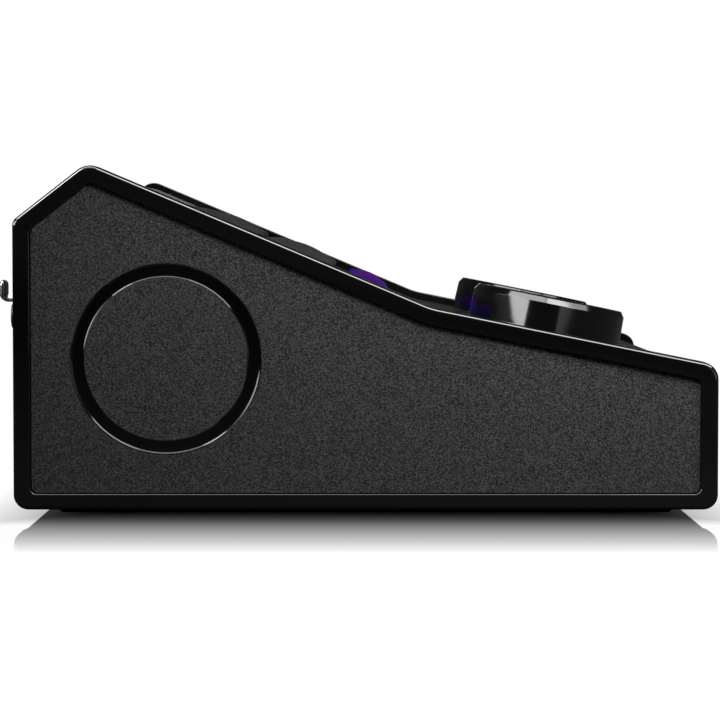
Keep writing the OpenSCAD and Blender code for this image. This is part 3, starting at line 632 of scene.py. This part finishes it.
def pale_plastic(name, level, rough):
    """Pale diffusing plastic with a faint cloud in it."""
    s = new_finish(name)
    cloud = s.noise(1.5, detail=3.0)
    return s.surface(
        Base_Color=s.blend(cloud, grey(0.82 * level, -0.1), grey(level, -0.06)),
        Roughness=rough + 0.1 * cloud,
        Normal=s.bump(cloud, 0.1, 0.03),
    )


# Places on the slopes and the other faces


def slope_place(start, direction, along):
    """A point of a slope's panel face: along the slope from its start, then in by the panel's
    inset. Returns it with the slope's own axes: across, up the slope and out of the panel."""
    up = np.array((abs(direction[0]), abs(direction[1])))
    out = np.array((-up[1], up[0]))
    point = start + along * direction - PANEL_INSET * out
    axes = np.array([(1.0, 0.0, 0.0), (0.0, *up), (0.0, *out)])
    return np.array((0.0, Y_FRONT + point[0], RIM_Z + point[1])), axes


def on_front(x, along):
    """A place on the front slope, measured from its front edge."""
    origin, axes = slope_place(FRONT_TOP, unit(BEND - FRONT_TOP), along)
    return origin + (x, 0.0, 0.0), axes


def on_slope(x, along):
    """A place on the steeper slope, measured down from the apex."""
    origin, axes = slope_place(APEX, unit(BEND - APEX), along)
    return origin + (x, 0.0, 0.0), axes


def at_rear(x, height):
    """A place on the rear panel's face, with local z pointing to the rear."""
    axes = [(1.0, 0.0, 0.0), (0.0, 0.0, -1.0), (0.0, 1.0, 0.0)]
    return (x, Y_FRONT + PANEL_REAR, RIM_Z + height), axes


def at_front(x, height):
    """A place on the front panel's face, with local z pointing to the front."""
    axes = [(1.0, 0.0, 0.0), (0.0, 0.0, 1.0), (0.0, -1.0, 0.0)]
    return (x, Y_FRONT + PANEL_INSET, RIM_Z + height), axes


def at_side(side, plane=(0.0, 0.0)):
    """A place on a side, with local x to the rear, local y up and local z out of that side."""
    axes = [(0.0, 1.0, 0.0), (0.0, 0.0, 1.0), (float(side), 0.0, 0.0)]
    return (0.0, Y_FRONT + plane[0], RIM_Z + plane[1]), axes


# Surfaces


def cheek_rings():
    """End cheek: the rim's cross-section (inset from the edge, distance out) carried round the side
    outline, from the inner face over the filleted edge and the flat rim down into the pocket."""
    inner_strip, inner_fillet, softest = 0.35, 0.2, 0.4
    path = rounded_path(
        [(inner_strip, CHEEK_INNER), (0.0, CHEEK_INNER), (0.0, HALF_WIDTH), (RIM_W, HALF_WIDTH),
         (RIM_W, HALF_WIDTH - POCKET_DEPTH)],
        (inner_fillet, EDGE_FILLET, LIP_FILLET),
    )
    inset, out = path.T
    share = np.clip((inset - EDGE_FILLET) / (RIM_W - LIP_FILLET - EDGE_FILLET), 0.0, 1.0)
    insets = inset[:, None] + share[:, None] * (RIM_WIDTHS - RIM_W)
    return lifted(body_outline(insets, softest + share * (POCKET_R - softest)), out)


def side_panel_rings():
    """Side panel: its edge follows the outline, its face runs in to the ring's groove along rays
    from the ring's middle, and the groove and the disc inside it are circles about that middle."""
    edge_fillet, lip_fillet, disc_fillet = 0.2, 0.18, 0.05
    run, land, steps, edge_fill = 2.0, 1.0, 4, 48
    bed = SIDE_FACE - RING_GROOVE
    edge = rounded_path(
        [(0.0, SIDE_FACE - SIDE_PANEL_T), (0.0, SIDE_FACE), (run, SIDE_FACE)], (edge_fillet,), steps
    )[:-1]
    outer = body_outline(RIM_WIDTHS + SEAM + edge[:, :1], POCKET_R, fill=edge_fill)
    ray = unit(outer[-1] - RING_CENTRE)
    groove = rounded_path(
        [(RING_OUTER + land, SIDE_FACE), (RING_OUTER, SIDE_FACE), (RING_OUTER, bed),
         (DISC_R, bed), (DISC_R, SIDE_FACE), (0.0, SIDE_FACE)],
        (lip_fillet, 0.0, 0.0, disc_fillet), steps,
    )
    round_rings = RING_CENTRE + groove[:, :1, None] * ray
    heights = np.concatenate([edge[:, 1], groove[:, 1]])
    return lifted(np.concatenate([outer, round_rings]), heights)


def ring_rings():
    """Polished ring: a channel lining the groove, whose two lips rise to the panel's face and are
    rounded over, turned round the ring's middle."""
    gap, proud, outer_lip = 0.02, 0.03, 0.4
    bed = SIDE_FACE - RING_GROOVE + gap
    floor = SIDE_FACE - RING_GROOVE + RING_T
    top = SIDE_FACE + proud
    inner, outer = DISC_R + gap, RING_OUTER - gap
    section = rounded_path(
        [(inner, bed), (outer, bed), (outer, top), (outer - outer_lip, top),
         (outer - outer_lip, floor), (RING_INNER, floor), (RING_INNER, top), (inner, top),
         (inner, bed)],
        (0.0, 0.03, 0.3, 0.1, 0.1, 0.24, 0.02),
    )
    return revolved(section, turns=144)


def knob_rings():
    """Knob: a drafted side with a bevelled top edge and a shallow dish, hollow below round a bored
    hub, turned round the shaft."""
    bevel_r = KNOB_TOP_R + KNOB_BEVEL * math.tan(KNOB_DRAFT)
    ceiling = KNOB_RISE - KNOB_WALL
    hub_r, hub_foot, bore_top = 6.0, 4.0, 7.45
    section = rounded_path(
        [(0.0, KNOB_RISE - DISH), (DISH_R, KNOB_RISE - DISH), (DISH_R + KNOB_EDGE, KNOB_RISE),
         (KNOB_TOP_R - KNOB_EDGE, KNOB_RISE), (bevel_r, KNOB_RISE - KNOB_BEVEL),
         (KNOB_R, KNOB_GAP), (KNOB_R - KNOB_WALL, KNOB_GAP), (KNOB_TOP_R - KNOB_WALL, ceiling),
         (hub_r, ceiling), (hub_r, hub_foot), (SHAFT_R, hub_foot), (SHAFT_R, bore_top),
         (0.0, bore_top)],
        (1.0, 1.0, 0.4, 0.3, 0.25, 0.25, 0.5, 0.5, 0.2, 0.1, 0.0), 8,
    )
    return revolved(section, turns=160)


def pointer_rings():
    """Pointer: a bar with round ends, laid in the knob's dish towards the rear. Its rings are
    rounded rectangles, the uppermost drawn in a little."""
    width, length, inset, flat = 1.4, 7.0, 0.7, 0.01
    middle = DISH_R - inset - length / 2
    levels = np.array([(0.0, -0.25), (0.0, 0.02), (0.03, 0.05)])
    rings = np.stack(
        [rounded_rect(width - 2 * d, length - 2 * d, width / 2 - d - flat) for d in levels[:, 0]]
    )
    return lifted(rings + (0.0, middle), KNOB_RISE - DISH + levels[:, 1])


def cap_rings(width, length, rise, crown, edge):
    """Key cap: a flange below the panel, upright walls, an edge of the given radius and a pillowed
    top that rises above its edge by crown (1 - u^2) (1 - v^2), where u and v run from -1 to 1."""
    foot = -PANEL_T - SEAM
    brow = rise - crown
    top_rings = 14
    walls = rounded_path(
        [(-KEY_FLANGE, foot - FLANGE_T), (-KEY_FLANGE, foot), (0.0, foot), (0.0, brow),
         (2.0 * edge, brow)],
        (0.0, 0.0, edge),
    )[:-1]
    sides = np.stack(
        [rounded_rect(width - 2 * d, length - 2 * d, KEY_R - min(d, edge)) for d in walls[:, 0]]
    )
    top = sides[-1] * np.linspace(1.0, 0.0, top_rings)[1:, None, None]
    u, v = np.moveaxis(top / (width / 2 - edge, length / 2 - edge), -1, 0)
    height = brow + crown * (1 - u**2) * (1 - v**2)
    pillow = np.concatenate([top, height[..., None]], axis=-1)
    return np.concatenate([lifted(sides, walls[:, 1]), pillow])


def stem_rings():
    """Stem of a key: a round pin from the flange down into its switch, turned round its axis."""
    radius, length, sunk, fillet = 2.5, 4.5, 0.5, 0.3
    head = -PANEL_T - SEAM - sunk
    foot = head - length
    section = [(0.0, foot), (radius, foot), (radius, head), (0.0, head)]
    return revolved(rounded_path(section, (fillet, 0.0)), turns=24)


def latch_rings(x):
    """Release tab: a strip carried along a path that runs out of the socket, turns up in a knee and
    ends in a round tip. Past the knee its thickness grows from the stem's to the tab's by
    s^2 (3 - 2 s), and over the tip it closes as the root of 1 - t^2."""
    knee_r, knee_steps, upright_steps = 1.3, 10, 26
    swell_end, tip_start, taper, least = 0.35, 0.72, 1.6, 1e-4
    foot_z = SOCKET_H + LATCH_RISE
    tab_s = DEPTH + LATCH_OUT - TAB_T / 2
    top = foot_z - LATCH_STEM_T / 2 + TAB_H
    corners = [(PANEL_REAR - LATCH_REACH, foot_z), (tab_s, foot_z), (tab_s, top)]
    knee = rounded_path(corners, (knee_r,), knee_steps)
    upright = np.linspace(knee[-2], knee[-1], upright_steps)[1:]
    path = np.concatenate([knee[:-1], upright])
    along = np.gradient(path, axis=0)
    normal = unit(np.stack([-along[:, 1], along[:, 0]], axis=-1))
    climb = np.clip((path[:, 1] - foot_z) / (top - foot_z), 0.0, 1.0)
    swell = np.clip(climb / swell_end, 0.0, 1.0)
    swell = swell * swell * (3 - 2 * swell)
    tip = np.clip((climb - tip_start) / (1 - tip_start), 0.0, 1.0)
    close = np.sqrt(np.maximum(1 - tip**2, least))
    thick = (LATCH_STEM_T + (TAB_T - LATCH_STEM_T) * swell) * close
    wide = LATCH_W - taper * (1 - close)
    ring = rounded_rect(1.0, 1.0, 0.38, 6)
    plane = path[:, None] + ring[None, :, 1:] * (thick[:, None] * normal)[:, None]
    across = x + ring[None, :, :1] * wide[:, None, None]
    return np.concatenate([across, plane], axis=-1) + (0.0, Y_FRONT, RIM_Z)


def nut_rings():
    """Ring nut: a rounded collar turned round its bore. Its outer wall is knurled: with the angle a
    the radius shrinks there by the share depth (1 + cos(n a)) / 2, for n knurls."""
    knurls, depth, band = 30, 0.02, 0.5
    section = rounded_path(
        [(NUT_BORE, 0.0), (NUT_R, 0.0), (NUT_R, NUT_T), (NUT_BORE, NUT_T), (NUT_BORE, 0.0)],
        (0.3, 0.45, 0.3), 5,
    )
    rings = revolved(section, turns=240)
    radius = np.linalg.norm(rings[..., :2], axis=-1)
    angle = np.arctan2(rings[..., 1], rings[..., 0])
    outer = np.clip((radius - NUT_R + band) / band, 0.0, 1.0)
    scale = 1 - depth * outer * (0.5 + 0.5 * np.cos(knurls * angle))
    rings[..., :2] *= scale[..., None]
    return rings


def foot_rings():
    """Rubber foot: a disc with a rounded tread edge and a shallow hollow in its tread, turned round
    its axis."""
    hollow, hollow_r, tread_r = 0.15, FOOT_R - 2.4, FOOT_R - 1.8
    section = rounded_path(
        [(0.0, hollow), (hollow_r, hollow), (tread_r, 0.0), (FOOT_R, 0.0), (FOOT_R, FOOT_T),
         (0.0, FOOT_T)],
        (0.3, 0.3, 0.45, 0.15),
    )
    return revolved(section, turns=72)


def add_key(node, slot, place, width, length, rise, edge):
    """Shows a key as its cap and stem."""
    cap = placed(cap_rings(width, length, rise, KEY_CROWN, edge), *place)
    mesh = lofted(node + "_cap", cap, placed(stem_rings(), *place))
    add_piece(node + "_cap", mesh, node, slot, node)


# Finishes in use, by the record's slot names
SLOPE_FOOT, SLOPE_AXES = on_slope(0.0, BUTTON_ALONG)
FINISHES = {
    "gloss_black": gloss_black(),
    "stippled_grey": stippled_grey(),
    "ring_black": gloss_black("ring_black", gloss=0.08, level=0.0012),
    "panel_black": satin_panel(),
    "metal_black": powder_coat(),
    "foot_rubber": foot_rubber(),
    "screw_steel": drawn_metal("screw_steel", (0.5, 0.5, 0.52), 0.28, (1.0, 1.0, 1.0)),
    "screw_black": drawn_metal("screw_black", (0.1, 0.1, 0.107), 0.34, (1.0, 1.0, 1.0)),
    "board_green": circuit_board(),
    "standoff_brass": drawn_metal("standoff_brass", (0.62, 0.46, 0.2), 0.3, (1.0, 1.0, 0.1)),
    "switch_black": moulded_black("switch_black", 0.026, 0.5),
    "lens_smoke": smoked_lens(),
    "lamp_white": pale_plastic("lamp_white", 0.75, 0.4),
    "pot_metal": drawn_metal("pot_metal", (0.42, 0.42, 0.43), 0.32, (1.0, 0.1, 1.0)),
    "knob_gloss": gloss_black("knob_gloss", gloss=0.1, level=0.0012),
    "shaft_steel": drawn_metal("shaft_steel", (0.55, 0.55, 0.57), 0.25, (1.0, 1.0, 0.1)),
    "key_soft": soft_key(),
    "button_lit": lit_silicone(SLOPE_FOOT[1:], SLOPE_AXES[2][1:]),
    "socket_black": moulded_black("socket_black", 0.016, 0.36),
    "latch_steel": drawn_metal("latch_steel", (0.56, 0.56, 0.57), 0.14, (0.1, 1.0, 1.0), 0.08),
    "nut_black": moulded_black("nut_black", 0.028, 0.3),
    "ribbon_grey": ribbon_cable(),
    "header_white": pale_plastic("header_white", 0.7, 0.45),
}


# Nodes that keep their CAD mesh take their finish here; the pieces below stand for the others
SLOT_NODES = {
    "screw_steel": ("cheek_screws", "board_screws", "control_board_screws"),
    "board_green": ("main_board", "key_board", "knob_board"),
    "standoff_brass": ("board_standoffs",),
    "switch_black": ("key_switches", "button_switches"),
    "lamp_white": ("meter_lamps",),
    "pot_metal": ("left_pot", "right_pot", "pot_nuts"),
    "shaft_steel": ("left_knob_shaft", "right_knob_shaft"),
    "ribbon_grey": ("ribbon_cables",),
    "header_white": ("ribbon_sockets",),
}
for slot, nodes in SLOT_NODES.items():
    for node in nodes:
        dress(frame["nodes"][node].data, slot)

# Cheeks, side panels and rings, both sides
HANDS = ((-1, "left"), (1, "right"))
for side, hand in HANDS:
    shells = {
        "cheek": (cheek_rings(), "gloss_black"),
        "side_panel": (side_panel_rings(), "stippled_grey"),
    }
    for part, (rings, slot) in shells.items():
        node = f"{hand}_{part}"
        mesh = lofted(node + "_shell", placed(rings, *at_side(side)))
        add_piece(node + "_shell", mesh, "chassis", slot, node)
    node = f"{hand}_ring"
    mesh = lofted(node + "_inlay", placed(ring_rings(), *at_side(side, RING_CENTRE)))
    add_piece(node + "_inlay", mesh, "chassis", "ring_black", node)

# Knobs with their pointers
for side, hand in HANDS:
    node = f"{hand}_knob"
    place = on_front(side * KNOB_X, KNOB_ALONG)
    mesh = lofted(node + "_turned", placed(knob_rings(), *place))
    add_piece(node + "_turned", mesh, node, "knob_gloss", node)
    mesh = lofted(node + "_pointer", placed(pointer_rings(), *place))
    add_piece(node + "_pointer", mesh, node, "lamp_white")

# Keys in two rows, the lit row and the meter's lens
for row, (along, rise) in enumerate(zip(KEY_ROWS, KEY_RISES)):
    for column, x in enumerate(COLUMNS):
        node = f"key_{row * len(COLUMNS) + column + 1}"
        add_key(node, "key_soft", on_slope(x, along), KEY_W, KEY_L, rise, KEY_EDGE)
button_sizes = (BUTTON_W, BUTTON_L, BUTTON_RISE, BUTTON_EDGE)
for column, x in enumerate(COLUMNS):
    add_key(f"lit_button_{column + 1}", "button_lit", on_slope(x, BUTTON_ALONG), *button_sizes)
lens = cap_rings(METER_W, METER_L, METER_RISE, METER_CROWN, METER_EDGE)
mesh = lofted("meter_lens_cover", placed(lens, *on_slope(0.0, METER_ALONG)))
add_piece("meter_lens_cover", mesh, "chassis", "lens_smoke", "meter_lens")

# Release tabs, ring nuts and feet
for hand, x in COMBO_X.items():
    node = f"{hand}_latch"
    add_piece(node + "_tab", lofted(node + "_tab", latch_rings(x)), node, "latch_steel", node)
nut_places = [at_rear(x, SOCKET_H) for x in LINE_X]
nut_places += [at_front(x, FRONT_JACK_H) for x in FRONT_JACK_X]
mesh = lofted("ring_nuts", *(placed(nut_rings(), *place) for place in nut_places))
add_piece("ring_nuts", mesh, "chassis", "nut_black", "jack_nuts")
foot_places = [
    (x * (HALF_WIDTH - FOOT_INSET), y, 0.0)
    for x in (-1, 1)
    for y in (Y_FRONT + FOOT_INSET, Y_FRONT + DEPTH - FOOT_INSET)
]
mesh = lofted("foot_pads", *(foot_rings() + place for place in foot_places))
add_piece("foot_pads", mesh, "chassis", "foot_rubber", "feet")

# Panels, sockets and screws that keep their CAD shape, with eased edges
EASED = {
    "top_panel": ("panel_black", 0.3),
    "front_panel": ("panel_black", 0.25),
    "rear_panel": ("metal_black", 0.25),
    "bottom_pan": ("metal_black", 0.3),
    "outer_combo_shell": ("socket_black", 0.35),
    "inner_combo_shell": ("socket_black", 0.35),
    "outer_combo_core": ("socket_black", 0.25),
    "inner_combo_core": ("socket_black", 0.25),
    "left_line_jack": ("socket_black", 0.3),
    "right_line_jack": ("socket_black", 0.3),
    "instrument_jack": ("socket_black", 0.3),
    "phones_jack": ("socket_black", 0.3),
    "usb_shell": ("latch_steel", 0.1),
    "usb_tongue": ("socket_black", 0.1),
    "rear_panel_screws": ("screw_black", 0.2),
    "combo_screws": ("screw_black", 0.2),
}
for node, (slot, ease) in EASED.items():
    add_eased(node, slot, ease)


# Stage, in metres and degrees: pale floor, studio light and the camera
FLOOR_HALF = 4.0
FLOOR_DIM = 0.018
# Painted shadow round the footprint: its near-black level, and further down the span over which it
# fades from inside the footprint's edge to outside it
PAINTED_SHADOW_LEVEL = 0.001
FADE_SPAN = (-0.027, 0.066)
FADE_POWER = 1.85
PAINTED_SHADOW_SPAN = (-0.025, 0.012)
POLISH_SPAN = (-0.05, -0.075)
POLISH_LEVEL = 0.97
POLISH_ROUGH = 0.03
GRAZING_IOR = 1.45
GRAZING_SPAN = (0.15, 0.48)
DARK_SIDE = 0.025
BEYOND_SPAN = (0.96, 0.975)
BEYOND_FOOT = (0.083, 0.09)
BEYOND_HEAD = (0.122, 0.132)
LIGHT_CENTRE = np.array((0.0, -0.02, 0.045))
CEILING_H = 1.05
CAMERA_SIDE = -1.3
FRAME_PIXELS = 720
FOCAL_PIXELS = 2672
SENSOR_W = 36.0
CAMERA_PLACE = (-0.723, -0.00154, 0.0656)
CAMERA_TIP = 2.58

# Softboxes: azimuth from the camera's side towards the rear, elevation, distance from the light's
# centre, width, height and radiance. Strips show only in the gloss, and fills light the rest
STRIPS = {
    "rear_strip": (58.0, 14.0, 1.1, 1.15, 0.4, 4.6),
    "front_strip": (-38.0, 3.0, 1.1, 0.95, 0.5, 0.4),
}
FILLS = {
    "side_fill": (-24.0, 31.0, 0.243, 0.2, 0.06, 18.5),
    "top_fill": (180.0, 78.0, 1.0, 0.8, 0.8, 5.0),
    "rear_fill": (90.0, 30.0, 1.0, 0.6, 0.4, 11.0),
    "front_fill": (-90.0, 30.0, 1.0, 0.6, 0.4, 12.0),
    "far_fill": (180.0, 20.0, 1.0, 0.9, 0.6, 5.0),
}

# Panels of the ceiling, which show only in the gloss: their spans along X and Y, and radiance
CEILING = {
    "ceiling_rear": ((CAMERA_SIDE, -0.38), (0.62, 1.05), 11.0),
    "ceiling_middle": ((CAMERA_SIDE, -0.55), (-0.17, 0.62), 2.0),
    "ceiling_front": ((CAMERA_SIDE, -0.46), (-1.2, -0.17), 7.0),
    "above_knob": ((-0.55, -0.1), (-0.15, 0.1), 3.6),
    "above_knob_near": ((-0.46, -0.34), (-0.76, -0.17), 2.6),
    "above_knob_rear": ((-0.55, 0.0), (0.1, 0.62), 3.6),
    "above_knob_front": ((-0.46, 0.05), (-1.2, -0.76), 2.2),
}


def add_floor():
    """Pale floor: where it is open it is white to the camera and dim to other rays, so that the
    gloss stays black. A painted shadow makes it dark at the footprint's edge, drawn from the
    distance to the footprint alone, and it is polished in front of the left side. There a grazing
    look shows the mirror image, which gives way to the open floor by the share s^p, where s grows
    with the distance from the footprint's edge, negative inside."""
    mesh = bpy.data.meshes.new("floor")
    corners = [(-1.0, -1.0, 0.0), (1.0, -1.0, 0.0), (1.0, 1.0, 0.0), (-1.0, 1.0, 0.0)]
    mesh.from_pydata(FLOOR_HALF * np.array(corners), [], [(0, 1, 2, 3)])
    floor = bpy.data.objects.new("floor", mesh)
    bpy.context.scene.collection.objects.link(floor)
    s = new_finish("pale_floor")
    place = s.place()
    x, y = (s.axis(place, name) for name in "XY")
    side_x = s.math("ABSOLUTE", x) - HALF_WIDTH * MM
    past_middle = y - (Y_FRONT + DEPTH / 2) * MM
    side_y = s.math("ABSOLUTE", past_middle) - DEPTH / 2 * MM
    out_x = s.math("MAXIMUM", side_x, 0.0)
    out_y = s.math("MAXIMUM", side_y, 0.0)
    inside = s.math("MINIMUM", s.math("MAXIMUM", side_x, side_y), 0.0)
    away = s.math("SQRT", out_x * out_x + out_y * out_y) + inside
    fade = s.ramp(away, *FADE_SPAN, kind="LINEAR")
    open_share = s.math("POWER", fade, FADE_POWER)
    # Painted shadow: the floor is drawn towards near black as it nears the footprint's edge, by
    # distance alone
    clear_of_painted_shadow = s.ramp(away, *PAINTED_SHADOW_SPAN, kind="LINEAR")
    seen = s.node("ShaderNodeLightPath", output="Is Camera Ray")
    near = s.ramp(x, *POLISH_SPAN)
    grazing = s.ramp(s.node("ShaderNodeFresnel", None, {"IOR": GRAZING_IOR}), *GRAZING_SPAN)
    mirror_share = seen * near * grazing * (1 - open_share)
    white = s.node("ShaderNodeEmission", None, {"Color": grey(1.0), "Strength": 1.0})
    dim = s.node("ShaderNodeBsdfDiffuse", None, {"Color": grey(FLOOR_DIM)})
    dark = s.node("ShaderNodeBsdfDiffuse", None, {"Color": grey(PAINTED_SHADOW_LEVEL)})
    polish = {"Color": grey(POLISH_LEVEL), "Roughness": POLISH_ROUGH}
    mirror = s.node("ShaderNodeBsdfGlossy", None, polish)
    open_floor = s.node("ShaderNodeMixShader", None, {0: seen, 1: dim, 2: white})
    polished = s.node("ShaderNodeMixShader", None, {0: mirror_share, 1: open_floor, 2: mirror})
    # The painted shadow is laid over the floor here, near the footprint
    surface = s.node("ShaderNodeMixShader", None, {0: clear_of_painted_shadow, 1: dark, 2: polished})
    s.node("ShaderNodeOutputMaterial", None, {"Surface": surface})
    mesh.materials.append(s.owner)


def add_studio():
    """Studio round the object: white for the camera and low beyond the object, and dark elsewhere
    so that the gloss stays black, in fixed directions of the world."""
    world = bpy.data.worlds.new("studio")
    bpy.context.scene.world = world
    s = Shader(world)
    direction = s.node("ShaderNodeTexCoord", output="Generated")
    rise = s.axis(direction, "Z")
    ahead = s.ramp(s.axis(direction, "X"), *BEYOND_SPAN)
    beyond = ahead * s.ramp(rise, *BEYOND_FOOT) * s.ramp(rise, *BEYOND_HEAD, 1.0, 0.0)
    seen = s.node("ShaderNodeLightPath", output="Is Camera Ray")
    level = DARK_SIDE + (1 - DARK_SIDE) * beyond
    sockets = {"Color": grey(1.0), "Strength": seen + (1 - seen) * level}
    light = s.node("ShaderNodeBackground", None, sockets)
    s.node("ShaderNodeOutputWorld", None, {"Surface": light})


def add_lamp(name, place, width, height, radiance):
    """A rectangular lamp that faces down. Radiance is what a mirror would show, and an area lamp
    needs four watts for each square metre and unit of it."""
    data = bpy.data.lights.new(name, "AREA")
    data.shape = "RECTANGLE"
    data.size = width
    data.size_y = height
    data.energy = 4 * width * height * radiance
    lamp = bpy.data.objects.new(name, data)
    lamp.location = place
    bpy.context.scene.collection.objects.link(lamp)
    return lamp


def add_softbox(name, azimuth, elevation, distance, width, height, radiance):
    """A lamp aimed at the light's centre from a direction and distance."""
    a, e = math.radians(azimuth), math.radians(elevation)
    away = np.array((-math.cos(a) * math.cos(e), math.sin(a) * math.cos(e), math.sin(e)))
    lamp = add_lamp(name, LIGHT_CENTRE + distance * away, width, height, radiance)
    lamp.rotation_euler = Vector(tuple(-away)).to_track_quat("-Z", "Y").to_euler()
    return lamp


def add_lamps():
    """The strips, the ceiling and the fills."""
    for name, placing in STRIPS.items():
        add_softbox(name, *placing).visible_diffuse = False
    for name, (x_span, y_span, radiance) in CEILING.items():
        place = (sum(x_span) / 2, sum(y_span) / 2, CEILING_H)
        lamp = add_lamp(name, place, x_span[1] - x_span[0], y_span[1] - y_span[0], radiance)
        lamp.visible_diffuse = False
    for name, placing in FILLS.items():
        lamp = add_softbox(name, *placing)
        lamp.visible_glossy = False
        lamp.visible_camera = False


def add_camera():
    """Camera square to the left side, a little above the floor and tipped down."""
    data = bpy.data.cameras.new("camera")
    data.sensor_width = SENSOR_W
    data.lens = FOCAL_PIXELS / FRAME_PIXELS * SENSOR_W
    camera = bpy.data.objects.new("camera", data)
    camera.location = CAMERA_PLACE
    camera.rotation_euler = (math.radians(90 - CAMERA_TIP), 0.0, math.radians(-90))
    bpy.context.scene.collection.objects.link(camera)
    bpy.context.scene.camera = camera


add_floor()
add_studio()
add_lamps()
add_camera()
bpy.context.scene.view_settings.view_transform = "Standard"
